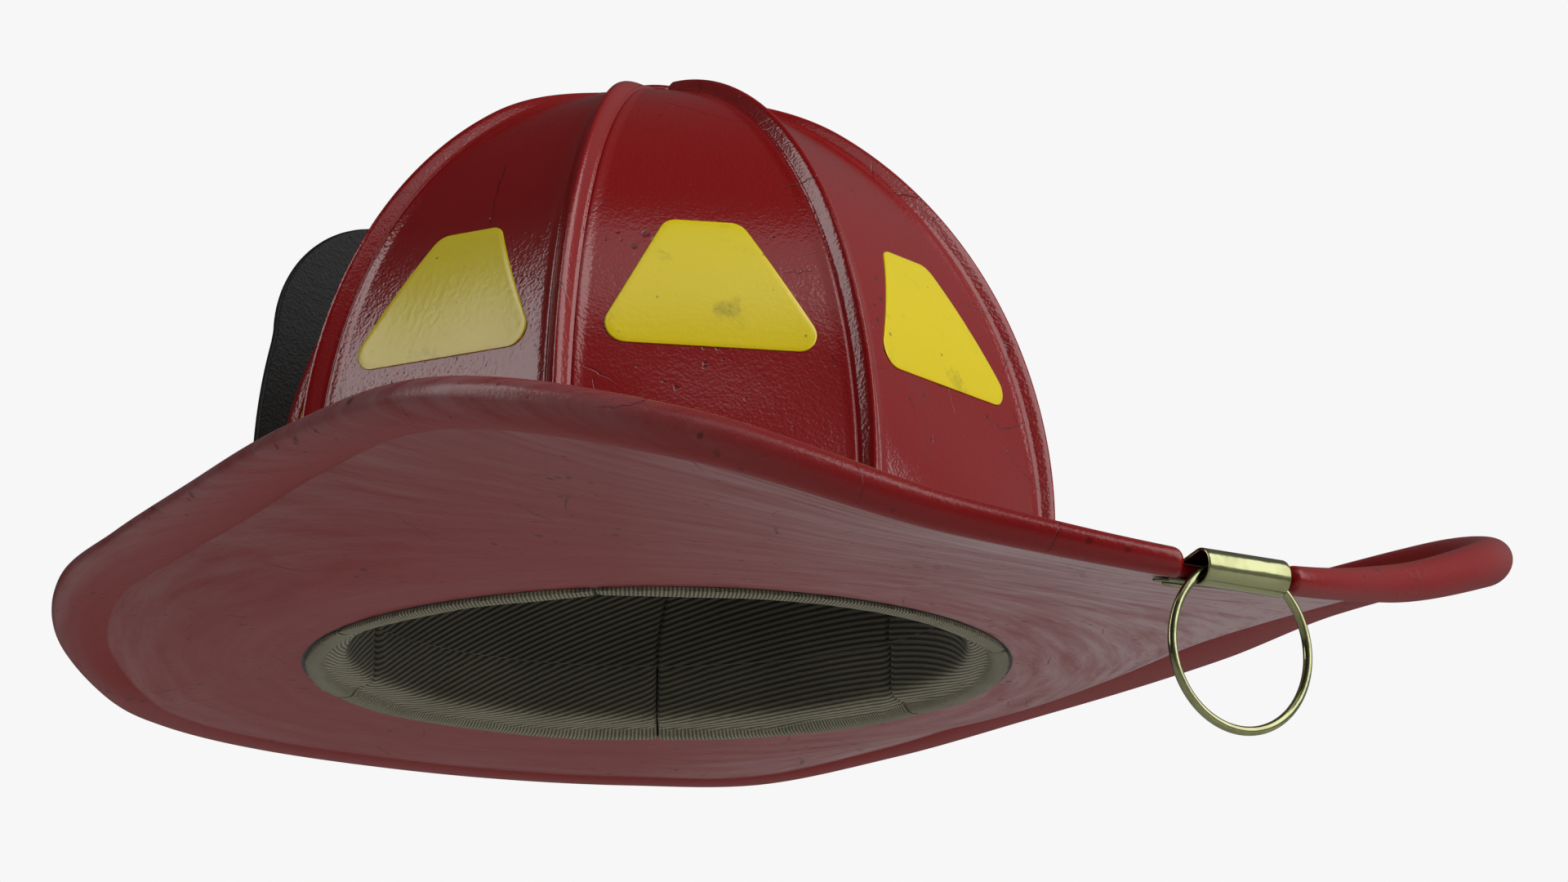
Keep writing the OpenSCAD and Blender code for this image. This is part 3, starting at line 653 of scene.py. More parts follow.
def settled(piece: Piece) -> bpy.types.Mesh:
    """Applies a piece's modifiers.

    Args:
        piece: the piece, which loses its modifiers.

    Returns:
        The mesh that they make of it.
    """
    made = bpy.data.meshes.new_from_object(piece.evaluated_get(bpy.context.evaluated_depsgraph_get()))
    piece.modifiers.clear()
    return made


def numbers(items: bpy.types.bpy_prop_collection, key: str) -> Array:
    """Reads a vector of every point of a mesh.

    Args:
        items: the mesh's points or normals.
        key: name of the vector.

    Returns:
        One row of three numbers for each.
    """
    values = np.zeros(len(items) * 3, np.float32)
    items.foreach_get(key, values)
    return values.reshape(-1, 3)


def dress(piece: Piece, material: Material, slot: Slot, *nodes: str, body: Body = Body.HELMET) -> Piece:
    """Gives a new piece its material, and hides the CAD nodes that it stands for.

    Args:
        piece: the new piece.
        material: its finish.
        slot: the record's material slot; not used.
        nodes: CAD nodes that it replaces.
        body: CAD body that it rides on.

    Returns:
        The same piece.
    """
    piece.data.materials.clear()
    piece.data.materials.append(material)
    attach(piece, body.value)
    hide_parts(*nodes)
    LOG.info("%s: %d faces, %s", piece.name, len(piece.data.polygons), material.name)
    return piece


def keep(material: Material, slot: Slot, *nodes: str) -> None:
    """Shows CAD nodes as they are, in a better material.

    Args:
        material: the finish.
        slot: the record's material slot; not used.
        nodes: names of the CAD nodes.
    """
    for name in nodes:
        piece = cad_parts[name]
        piece.data.materials.clear()
        piece.data.materials.append(material)
        LOG.info("%s kept, %s", name, material.name)


@dataclass
class Crown:
    """Domed shell of eight leather panels, with combs over the seams and patches between them."""

    radius: float = 106.5
    wall: float = 3.0
    spring: float = 36.0
    rise: float = 121.6
    fullness: float = 1.94
    length_share: float = 0.95
    back: float = 4.4
    lean: float = 0.019
    flatness: float = 1.03
    foot_flatness: float = 0.42
    flat_from: float = 21.0
    flat_by: float = 64.0
    low: float = 3.0
    hole: float = 8.0
    comb_half: float = 3.0
    comb_height: float = 3.4
    bead_steep: float = 1.45
    flank_share: float = 0.7
    bead_edge: float = 3.7
    bead_ease: float = 0.1  # from its last point to the foot's first, and past its half width
    foot_half: float = 8.0
    foot_height: float = 0.9
    foot_tuck: float = 0.12
    foot_close: tuple[float, float] = (16.0, 40.0)  # from the axis where it is narrowest, and over
    foot_least: float = 0.1
    groove: tuple[float, float, float] = (3.25, 0.4, 0.45)  # place, half width, depth
    bury: float = 1.2
    comb_end: float = 10.0
    apex_thin: float = 0.75
    apex_from: float = 50.0
    apex_by: float = 14.0
    pad_level: float = 0.6  # of the combs' height
    pad_bury: float = 1.0
    pad_rise: float = 0.84
    pad_edge: tuple[float, float] = (1.5, 1.9)  # width and height of the rolled rim
    patch_low: float = 64.0
    patch_high: float = 101.0
    patch_low_half: float = 31.5
    patch_high_half: float = 10.0
    patch_corner: float = 5.0
    patch_lift: float = 0.4
    patch_under: float = 0.02
    sector: float = 45.0
    names: tuple[str, ...] = ("left", "rear_left", "rear", "rear_right",
                              "right", "front_right", "front", "front_left")

    def meridian(self, lift: float, tip: float, count: int) -> tuple[Array, Array]:
        """Curve of the shell from the brim to near the top.

        An upright wall, then a superellipse, with m as its fullness: radius times cos(s)^(2/m) outwards, and
        rise times sin(s)^(2/m) upwards.

        Args:
            lift: distance outside the panels' outer face, negative inside.
            tip: radius at which the curve ends.
            count: number of points.

        Returns:
            Distances from the axis and heights.
        """
        below = count // 6
        end = math.acos((tip / (self.radius + lift)) ** (self.fullness / 2))
        s = np.linspace(0, end, count - below)
        out = (self.radius + lift) * np.cos(s) ** (2 / self.fullness)
        height = self.spring + (self.rise + lift) * np.sin(s) ** (2 / self.fullness)
        return (np.concatenate([np.full(below, self.radius + lift), out]),
                np.concatenate([np.linspace(self.low, self.spring, below, endpoint=False), height]))

    def reach(self, height: Array, lift: Array) -> Array:
        """Distance of the shell from the axis at a height, the meridian solved the other way round."""
        up = np.clip(height - self.spring, 0, None) / (self.rise + lift)
        return (self.radius + lift) * (1 - up ** self.fullness) ** (1 / self.fullness)

    def placed(self, points: Array) -> Array:
        """Turns a round dome into the crown, which is shorter from front to rear, set back and leans forwards.

        y becomes length_share * y + back - lean * (z - spring), while x and z stay.

        Args:
            points: points of the round dome, with x, y and z in the last axis.

        Returns:
            The moved points.
        """
        x, y, z = np.moveaxis(points, -1, 0)
        return np.stack([x, self.length_share * y + self.back - self.lean * (z - self.spring), z], axis=-1)

    def flat(self, angle: Array, height: Array) -> Array:
        """How far a panel is drawn in between its combs, as a share of the round dome's radius.

        A chord between two combs lies at cos(22.5) / cos(d) of the radius, d being the angle from the panel's
        middle. The panels are nearly flat above and rounder at the foot, which follows the oval of the head.

        Args:
            angle: angles from +X, in degrees.
            height: heights of the points.

        Returns:
            The share, 1 at the combs.
        """
        half = self.sector / 2
        chord = math.cos(math.radians(half)) / np.cos(np.radians(np.mod(angle, self.sector) - half))
        up = smoothstep(self.flat_from, self.flat_by, height)
        share = self.foot_flatness + (self.flatness - self.foot_flatness) * up
        return 1 - share * (1 - chord)

    def panel(self, number: int) -> Piece:
        """One panel: the meridian's two faces as a closed section, turned through an eighth and flattened.

        Args:
            number: the panel, 1 to 8 from +X on.

        Returns:
            The new object.
        """
        out, height = looped(self.meridian(0, self.hole, 96), self.meridian(-self.wall, self.hole, 36))
        angle = np.linspace((number - 1) * self.sector, number * self.sector, 49)[:, None]
        return skin(f"panel_{number}", self.placed(turned(angle, out * self.flat(angle, height), height)))

    def rib(self, out: Array, rear: bool) -> tuple[Array, Array]:
        """Section of a comb at each distance from the axis.

        The bead has straight flanks and a top rounded as a parabola, the foot falls as a square to the panel,
        and a fine groove lies where they meet. The foot narrows towards the top, where the combs close up, and
        all but the rear bead sink.

        Args:
            out: distances from the axis.
            rear: whether it is the rear comb.

        Returns:
            Distances across the comb, and heights over the panel.
        """
        edge, span = self.bead_edge, self.foot_half - self.bead_edge
        outer, inner = np.linspace(edge, self.foot_half, 9), np.linspace(0, edge - self.bead_ease, 25)
        grid = np.concatenate([outer[::-1], inner[::-1]])
        grid = np.concatenate([-grid, grid[-2::-1]])
        closest, closing = self.foot_close
        foot = edge + span * np.clip((out - closest) / closing, self.foot_least, 1)[:, None]
        far = np.clip(np.abs(grid) - edge, 0, None) / span
        x = np.sign(grid) * np.where(np.abs(grid) > edge, edge + far * (foot - edge), np.abs(grid))
        thin = 0 if rear else self.apex_thin
        crest = self.comb_height * (1 - thin * smoothstep(self.apex_from, self.apex_by, out))[:, None]
        top = 2 - self.flank_share
        t = np.clip(self.bead_steep * (1 - np.abs(x) / (self.comb_half + self.bead_ease)), 0, top)
        bead = crest * np.where(t < self.flank_share, t, 1 - (top - t) ** 2 / (4 * (1 - self.flank_share)))
        fall = np.clip((np.abs(x) - self.comb_half) / (foot - self.comb_half), 0, 1)
        hollow = self.foot_height * (1 - fall) ** 2 - self.foot_tuck
        place, half, depth = self.groove
        return x, np.maximum(bead, hollow) - depth * np.exp(-((np.abs(x) - place) / half) ** 2)

    def comb(self, number: int) -> Piece:
        """One comb: its section carried up the meridian along the normal, and closed inside the panel.

        Args:
            number: the comb, 0 to 7 from +X on.

        Returns:
            The new object.
        """
        out, height = self.meridian(0, self.comb_end, 110)
        normal = np.stack([np.gradient(height), -np.gradient(out)])
        normal /= np.linalg.norm(normal, axis=0)
        x, lift = self.rib(out, self.names[number] == "rear")
        back = x[:, ::-8]
        x = np.concatenate([x, back], axis=1)
        lift = np.concatenate([lift, np.full(back.shape, -self.bury)], axis=1)
        distance = out[:, None] + lift * normal[0][:, None]
        rise = height[:, None] + lift * normal[1][:, None]
        angle = number * self.sector + np.degrees(x / out[:, None])
        distance = distance * self.flat(angle, height[:, None])
        points = self.placed(turned(angle, distance, rise))
        return skin(f"comb_{self.names[number]}_rib", points, sharp=60)

    def button(self) -> Piece:
        """Round pad where the combs meet: a parabola with a rolled rim, turned about the axis.

        Returns:
            The new object.
        """
        top = self.meridian(self.pad_level * self.comb_height, self.comb_end, 60)[1][-1]
        under = self.meridian(0, self.hole, 60)[1][-1] - self.pad_bury
        wide, tall = self.pad_edge
        s = np.linspace(0, math.pi / 2, 14)
        dome_out = np.linspace(0, self.comb_end - wide, 12, endpoint=False)
        dome_height = top + self.pad_rise * (1 - (dome_out / self.comb_end) ** 2)
        edge_out, edge_height = self.comb_end - wide + wide * np.sin(s), top - wide + tall * np.cos(s)
        out = np.concatenate([dome_out, edge_out, [self.comb_end, 0]])
        height = np.concatenate([dome_height, edge_height, [under, under]])
        angle = np.linspace(0, 360, 64, endpoint=False)[:, None]
        return skin("comb_button", self.placed(turned(angle, out, height)), ring=True)

    def patch(self, number: int) -> Piece:
        """One patch: a trapezoid with round corners, filled from its middle and laid on the dome.

        A point's place on the drawing is scaled from the middle to the outline, and then pushed out to the
        dome.

        Args:
            number: the patch, 1 to 8 from +X on.

        Returns:
            The new object.
        """
        corner, low, high = self.patch_corner, self.patch_low, self.patch_high
        lean = math.degrees(math.atan2(self.patch_low_half - self.patch_high_half, high - low))
        low_in, high_in = (corner * math.tan(math.radians(45 + side * lean / 2)) for side in (1, -1))
        right = np.vstack([
            arc((self.patch_low_half - low_in, low + corner), corner, -90, lean, 12),
            arc((max(0.5, self.patch_high_half - high_in), high - corner), corner, lean, 90, 12)])
        outline = resampled(np.vstack([right, right[::-1] * (-1, 1)]), 180)
        middle = np.array([0, (low + high) / 2 - 3])
        # From the middle out over the face, round the cut edge and back under it.
        face, under = np.linspace(0, 0.985, 16), np.linspace(0.99, 0, 5)
        share = np.concatenate([face, [0.994, 1, 1], under])
        lift = np.concatenate([np.full(len(face), self.patch_lift), self.patch_lift - np.array([0.06, 0.25]),
                               np.full(1 + len(under), self.patch_under)])
        spot = middle + share[None, :, None] * (outline - middle)[:, None, :]
        across, height = spot[..., 0], spot[..., 1]
        reach = self.reach(height, lift[None, :])
        mean_flat = 0.95
        off = np.degrees(np.arcsin(across / (mean_flat * reach)))
        out = np.sqrt((reach * self.flat(self.sector / 2 + off, height)) ** 2 - across ** 2)
        points = turned((number - 0.5) * self.sector, out, height, across)
        return skin(f"patch_{number}", self.placed(points), ring=True)

    def build(self, leather: Leather, comb_leather: Leather, sheet: ReflectiveSheet) -> None:
        """Builds and dresses the whole crown.

        Args:
            leather: finish of the panels.
            comb_leather: finish of the combs and the pad.
            sheet: finish of the patches.
        """
        hide, rib, film = leather.build(), comb_leather.build(), sheet.build()
        for number in range(1, len(self.names) + 1):
            dress(self.panel(number), hide, Slot.CROWN, f"crown_panel_{number}")
            dress(self.patch(number), film, Slot.SHEET, f"reflective_patch_{number}")
        for number, name in enumerate(self.names):
            dress(self.comb(number), rib, Slot.COMB, f"comb_{name}")
        dress(self.button(), rib, Slot.COMB, "comb_pad")


@dataclass
class Brim:
    """One leather sheet with a long tail, and an edge rolled under everywhere but inside the clip."""

    reach: tuple[float, ...] = (262, 248, 243, 222, 189, 169.5, 160.5, 159.5, 157, 151.5, 154, 155, 153.5)
    edge: tuple[float, ...] = (-19, -8, 11.3, 25.8, 27, 22.4, 19.3, 17, 11.2, 4, 4, 4.2, 4)
    lip: tuple[float, ...] = (7.5, 10, 22, 20, 14.5, 13, 14)
    rise: tuple[float, ...] = (5, 10.8, 9.4, 7.2, 7.3, 6, 5.4)
    rear_roll: float = 3.4
    sag: float = 1.4
    sheet: float = 3.0
    sweep: float = 1.5
    flange: float = 111.9
    half_width: float = 93.0
    half_length: float = 97.68
    back: float = 4.5
    roll_stop: float = 15.0
    roll_start: float = 18.4
    cut_back: float = 1.2
    sheen_drift: tuple[float, float] = (0.549, -0.836)  # of dust and painted sheen, as shares to the rear and left, which is the camera's right
    drift_from: float = -5.0
    drift_over: float = 125.0
    drift_dust_and_sheen: float = 1.45
    even_dust: float = 0.1
    most_drift: float = 1.4
    rim_dust: float = 0.26
    rear_rim: float = 0.4  # share of the rim's dust at front and rear
    lip_painted_sheen: float = 0.42
    lip_rise: tuple[float, float] = (0.08, 0.42)  # place on the roll where its painted sheen begins and is full
    lip_fall: tuple[float, float] = (0.72, 0.5)
    lip_drift: tuple[float, float] = (60.0, -40.0)

    def oval(self, turn: Array, inset: Array | float = 0.0) -> Array:
        """Distance from the axis to the head oval: the larger root of the ellipse met by a ray at that turn.

        Args:
            turn: angles from the rear, in degrees.
            inset: how far inside the brim's hole the oval lies.

        Returns:
            The distances.
        """
        s, c = np.sin(np.radians(turn)), np.cos(np.radians(turn))
        wide, long = self.half_width - inset, self.half_length - inset
        a = (s / wide) ** 2 + (c / long) ** 2
        b = -self.back * c / long ** 2
        return (-b + np.sqrt(b * b - a * ((self.back / long) ** 2 - 1))) / a

    def share(self, turn: Array) -> Array:
        """How full the rolled edge is: none inside the clip, and a quarter circle beside it.

        Args:
            turn: angles from the rear, in degrees.

        Returns:
            The share, 0 to 1.
        """
        t = np.mod(turn, 360)
        across = self.reach[0] * np.sin(np.radians(np.minimum(np.where(t > 180, 360 - t, t), 45)))
        u = np.clip((across - self.roll_stop) / (self.roll_start - self.roll_stop), 0, 1)
        return np.sqrt(1 - (1 - u) ** 2)

    def dust(self, turn: Array, out: Array, way: Array, place: Array) -> Array:
        """How dusty the brim is, partly as a painted sheen: weighted sums of the way to the crease and of the
        distance along the drift, which runs to the camera's right, and a painted sheen on the lip's middle band
        on one side.

        Args:
            turn: angles from the rear, in degrees, as a column.
            out: distances from the axis.
            way: way from the opening to the crease, 0 to 1.
            place: place round the roll, 0 at the crease below and negative on the underside.

        Returns:
            The dust with its painted sheen, 1 or more where it covers all.
        """
        s, c = np.sin(np.radians(turn)), np.cos(np.radians(turn))
        # The drift runs to the camera's right, so what builds up along it is painted reflection as well as
        # dust.
        sheen_drift = out * (self.sheen_drift[0] * c + self.sheen_drift[1] * s)
        built = np.clip((sheen_drift - self.drift_from) / self.drift_over, 0, self.most_drift)
        beside = self.rear_rim + (1 - self.rear_rim) * np.abs(s)
        below = self.even_dust + self.rim_dust * way ** 2 * beside
        below = below + self.drift_dust_and_sheen * (0.5 + 0.5 * way) * built
        # Painted sheen on the roll's middle band, on one side only.
        lip = smoothstep(*self.lip_rise, place) * smoothstep(*self.lip_fall, place)
        lip = self.lip_painted_sheen * smoothstep(*self.lip_drift, sheen_drift) * lip
        return np.where(place < 0, below, lip * self.share(turn))

    def section(self, turn: Array) -> tuple[Array, Array, Array, Array]:
        """Closed outline of the brim at each turn.

        It runs out along the underside, whose height follows the 1.5th power of the way to the crease,
        round the roll, an oval that starts at the crease, and back along the top, one sheet higher.

        Args:
            turn: angles from the rear, in degrees, as a column.

        Returns:
            Distances from the axis, heights, how dusty the sheet is (partly a painted sheen), and where a
            darker colour is painted on as shade (the underside up to the lip).
        """
        share, bare = self.share(turn), self.sheet / 2
        roll = (self.rear_roll, *((rise + self.sag) / 2 for rise in self.rise[1:]))
        stations = (self.reach, self.edge, self.lip, self.rise, roll)
        reach, edge, lip, rise, tall = (through(values, turn) for values in stations)
        crease, crease_height = reach - lip - self.cut_back * (1 - share), edge - rise
        start = -180 + np.degrees(np.arcsin((rise - tall) / tall))
        end = 180 - np.degrees(np.arcsin(np.minimum(0.9, (tall - rise + self.sheet) / tall)))
        wide = lip / (1 - np.cos(np.radians(start)))
        half_wide, half_tall = bare + (wide - bare) * share, bare + (tall - bare) * share
        centre = crease + (reach - wide - crease) * share
        middle = crease_height + bare + (edge - tall - crease_height - bare) * share
        inside = self.oval(turn)
        level = inside + (self.flange - inside) * np.array([0.0, 0.02, 0.25, 0.5, 0.75])
        q = np.concatenate([np.linspace(0, 0.9, 34, endpoint=False), np.linspace(0.9, 1, 14)])
        under, under_height = self.flange + (crease - self.flange) * q, crease_height * q ** self.sweep
        k = np.linspace(0, 1, 46)[1:-1]
        plain = -90 + 180 * k
        angle = np.radians(plain + (start + (end - start) * k - plain) * share)
        out = np.concatenate([level, under, centre + half_wide * np.cos(angle), under[:, ::-2],
                              level[:, ::-1]], axis=1)
        zero = 0 * level
        height = np.concatenate([zero, under_height, middle + half_tall * np.sin(angle),
                                 under_height[:, ::-2] + self.sheet, zero + self.sheet], axis=1)
        place = (np.arange(out.shape[1]) - level.shape[1] - under.shape[1]) / len(k)
        way = np.clip((out - self.flange) / (crease - self.flange), 0, 1)
        # The last grid is painted shade: full on the underside and at the roll's start, gone by its middle.
        return out, height, self.dust(turn, out, way, place), smoothstep(0.5, 0.2, place) + 0 * out

    def turns(self) -> Array:
        """Angles of the sections, closer together beside the clip.

        Returns:
            The angles from the rear, in degrees, as a column.
        """
        stop, start = (math.degrees(math.asin(x / self.reach[0])) for x in (self.roll_stop, self.roll_start))
        beside = stop + (start - stop) * np.linspace(0, 1, 15) ** 2
        half = np.unique(np.concatenate([np.linspace(0, stop, 9), beside, np.arange(start, 180, 0.58), [180]]))
        return np.concatenate([half, 360 - half[-2:0:-1]])[:, None]

    def build(self, leather: Leather) -> None:
        """Builds and dresses the brim, with a strip map of millimetres round and across it.

        Args:
            leather: finish of the brim.
        """
        turn = self.turns()
        out, height, dust, shade = self.section(turn)
        points = turned(90 - turn, out, height)
        mean_reach = 170
        run = np.append(turn[:, 0], 360) * math.pi / 180 * mean_reach
        across = np.concatenate([out, out[:, :1]], axis=1)
        strip = np.stack(np.broadcast_arrays(run[:, None], np.concatenate([across, across[:1]])), axis=-1)
        # The shade grid paints shade on the underside and by the crease; the dust grid also carries a painted
        # sheen.
        marks = {"underside": dust, "shade": shade}
        sheet = skin("brim_sheet", points, ring=True, strip=strip, attributes=marks)
        dress(sheet, leather.build(), Slot.BRIM, "brim")


@dataclass
class FrontShield:
    """Bare leather shield at the front, with the brass that carries it."""

    distance: float = 127.48
    thickness: float = 3.0
    low: float = 4.8
    top: float = 150.0
    foot: float = 41.0
    wide: float = 58.5
    wide_height: float = 66.0
    shoulder: float = 45.0
    shoulder_height: float = 114.0
    corner: float = 35.0
    crease_inset: float = 0.93
    crease_half: float = 0.008
    crease_depth: float = 0.5
    edge: float = 0.012

    def plate(self) -> Piece:
        """The shield: its outline filled from the middle on both faces, with a round edge and a tooled line.

        The side of the outline is a quadratic curve from the foot to the shoulder.

        Returns:
            The new object.
        """
        u = np.linspace(0, 1, 40, endpoint=False)[:, None]
        side = ((1 - u) ** 2 * (self.foot, self.low) + 2 * u * (1 - u) * (self.wide, self.wide_height)
                + u ** 2 * (self.shoulder, self.shoulder_height))
        round_top = arc((self.shoulder - self.corner, self.top - self.corner), self.corner, 0, 90, 24)
        right = np.vstack([side, round_top])
        outline = resampled(np.vstack([right, right[::-1] * (-1, 1)]), 260)
        middle = np.array([0, 0.5 * (self.low + self.top)])
        fill = np.concatenate([np.linspace(0, 0.9, 12), np.linspace(0.91, 0.985, 14)])
        line = self.crease_depth * np.exp(-((fill - self.crease_inset) / self.crease_half) ** 2)
        bend = np.linspace(0, math.pi, 9)
        share = np.concatenate([fill, 1 - self.edge + self.edge * np.sin(bend), fill[::-1]])
        depth = np.concatenate([line, self.thickness * (0.5 - 0.5 * np.cos(bend)), self.thickness + 0 * fill])
        spot = middle + share[None, :, None] * (outline - middle)[:, None, :]
        y = depth[None, :] - self.distance - self.thickness
        points = np.stack(np.broadcast_arrays(spot[..., 0], y, spot[..., 1]), axis=-1)
        return skin("shield_leather_plate", points, ring=True)

    def build(self, leather: Leather, brass: Material) -> None:
        """Builds and dresses the shield and what carries it.

        Args:
            leather: finish of the shield.
            brass: finish of its bracket, holder and fasteners.
        """
        dress(self.plate(), leather.build(), Slot.SHIELD, "front_shield")
        keep(brass, Slot.BRASS, "shield_bracket", "bracket_rivets", "shield_screws", "shield_holder")


@dataclass
class Hanger:
    """Folded brass clip on the tail's edge, its eyelet, and the ring that swings in the fold."""

    axis: tuple[float, float] = (258.6, -22.4)  # of the hinge: distance to the rear, height
    crease: tuple[float, float] = (253.3, -24.0)
    run: tuple[float, float] = (-0.9716, 0.2368)  # direction of the brim's sheet at the rear
    brim_sheet: float = 3.0
    bore: float = 3.7
    sheet: float = 0.8
    half_width: float = 12.0
    tongue_half: float = 6.0
    tongue_reach: float = 23.0
    neck: tuple[float, float] = (8.5, 4.0)  # before the fold: where the tongue widens
    leaf_start: float = 2.0
    leaf: float = 9.0
    leaf_corner: float = 2.0
    gap: float = 0.3
    hole: float = 2.5
    eyelet: tuple[float, float, float] = (2.6, 1.1, 0.42)  # radius, half width and height of the rim
    eyelet_rise: float = 0.25
    ring_radius: float = 19.7
    wire: float = 1.1
    ring_drop: float = 17.66

    def seat(self) -> tuple[Array, Array, Array]:
        """Start of the fold under the brim, the direction along the sheet and the one away from it."""
        run, side = np.array(self.run), np.array([-self.run[1], self.run[0]])
        return np.array(self.crease) + self.leaf_start * run, run, side

    def clip_path(self) -> tuple[Array, Array]:
        """Middle line of the folded sheet in the plane of the tail, and its outward normals.

        A straight tongue, half a circle round the ring and a short straight leaf, with corners eased by a
        running mean.

        Returns:
            Points and normals, as distance behind the crown's axis and height.
        """
        seat, run, side = self.seat()
        half = self.sheet / 2
        low, high = seat + (self.gap + half) * side, seat - (self.brim_sheet + self.gap + half) * side
        fold = arc(self.axis, self.bore + half, -90, 90, 40)
        line = np.vstack([[low + self.tongue_reach * run, low], fold, [high, high + self.leaf * run]])
        line = resampled(line, 260, closed=False)
        soft = line.copy()
        window = np.hanning(13)[1:-1] / np.hanning(13).sum()
        for k in range(2):
            soft[5:-5, k] = np.convolve(line[:, k], window, "valid")
        along = np.gradient(soft, axis=0)
        along /= np.linalg.norm(along, axis=1, keepdims=True)
        return soft, np.stack([along[:, 1], -along[:, 0]], axis=1)

    def clip(self) -> Piece:
        """The clip: a thin section with round edges carried along the fold, narrow at the tongue.

        Its half width is a half circle at the tongue's tip, then widens by a smooth step, and ends in round
        corners.

        Returns:
            The new object.
        """
        path, normal = self.clip_path()
        run = np.concatenate([[0], np.cumsum(np.linalg.norm(np.diff(path, axis=0), axis=1))])
        left = run[-1] - run
        tip = np.clip(run / self.tongue_half, 0.002, 1)
        corner = np.clip(left / self.leaf_corner, 0, 1)
        begin, full = (self.tongue_reach - x for x in self.neck)
        width = self.tongue_half * np.sqrt(1 - (1 - tip) ** 2)
        width = width + (self.half_width - self.tongue_half) * smoothstep(begin, full, run)
        width = width - self.leaf_corner * (1 - np.sqrt(1 - (1 - corner) ** 2))
        half = self.sheet / 2
        flat, bend = np.linspace(-1, 1, 25), np.radians(np.linspace(-90, 90, 7)[1:-1])
        inner, edge = np.maximum(width - half, 0.05)[:, None], half * np.cos(bend)
        across = np.concatenate([inner * flat, inner + edge, -inner * flat, -inner - edge], axis=1)
        lift = np.concatenate([0 * flat - half, half * np.sin(bend), 0 * flat + half, -half * np.sin(bend)])
        place = path[:, None, :] + lift[None, :, None] * normal[:, None, :]
        return skin("clip_fold", np.stack([across, place[..., 0], place[..., 1]], axis=-1), sharp=70)

    def turned_about_hole(self, name: str, out: Array, depth: Array) -> Piece:
        """Turns a closed profile about the eyelet's axis, which runs through the tongue's hole.

        Args:
            name: the piece's name.
            out: distances from that axis.
            depth: distances along it, away from the brim.

        Returns:
            The new object.
        """
        seat, run, side = self.seat()
        centre = seat + self.gap * side + (self.tongue_reach - self.tongue_half) * run
        a = np.linspace(0, 2 * math.pi, 48, endpoint=False)[:, None]
        along = out * np.sin(a)
        place = centre + along[..., None] * run + (depth * np.ones_like(along))[..., None] * side
        return skin(name, np.stack([out * np.cos(a), place[..., 0], place[..., 1]], axis=-1), ring=True)

    def pierced(self, clip: Piece) -> Piece:
        """Cuts the tongue's hole through the clip.

        Args:
            clip: the clip without its hole.

        Returns:
            The same object.
        """
        cutter = self.turned_about_hole("hole_cutter", self.hole * np.array([0, 1, 1, 0]),
                                        np.array([-2.0, -2, 3, 3]))
        cut = clip.modifiers.new("hole", "BOOLEAN")
        cut.operation, cut.solver, cut.object = "DIFFERENCE", "EXACT", cutter
        clip.data = settled(clip)
        bpy.data.objects.remove(cutter)
        return clip

    def ring(self) -> Piece:
        """The ring: a round wire carried round a circle in an upright plane across the helmet.

        Returns:
            The new object.
        """
        a, b = np.meshgrid(*(np.linspace(0, 2 * math.pi, count, endpoint=False) for count in (160, 24)),
                           indexing="ij")
        reach = self.ring_radius + self.wire * np.cos(b)
        points = np.stack([reach * np.sin(a), self.axis[0] + self.wire * np.sin(b),
                           self.axis[1] - self.ring_drop + reach * np.cos(a)], axis=-1)
        return skin("ring_wire", points, ring=True)

    def build(self, brass: Material) -> None:
        """Builds the clip with its hole, the eyelet and the ring, and dresses them in brass.

        Args:
            brass: their finish.
        """
        dress(self.pierced(self.clip()), brass, Slot.BRASS, "hanger_clip")
        radius, wide, tall = self.eyelet
        t = np.linspace(0, 2 * math.pi, 20, endpoint=False)
        rim = self.sheet + self.eyelet_rise + tall * np.sin(t)
        eyelet = self.turned_about_hole("eyelet", radius + wide * np.cos(t), rim)
        dress(eyelet, brass, Slot.BRASS, "clip_eyelet")
        dress(self.ring(), brass, Slot.BRASS, "hanger_ring", body=Body.RING)


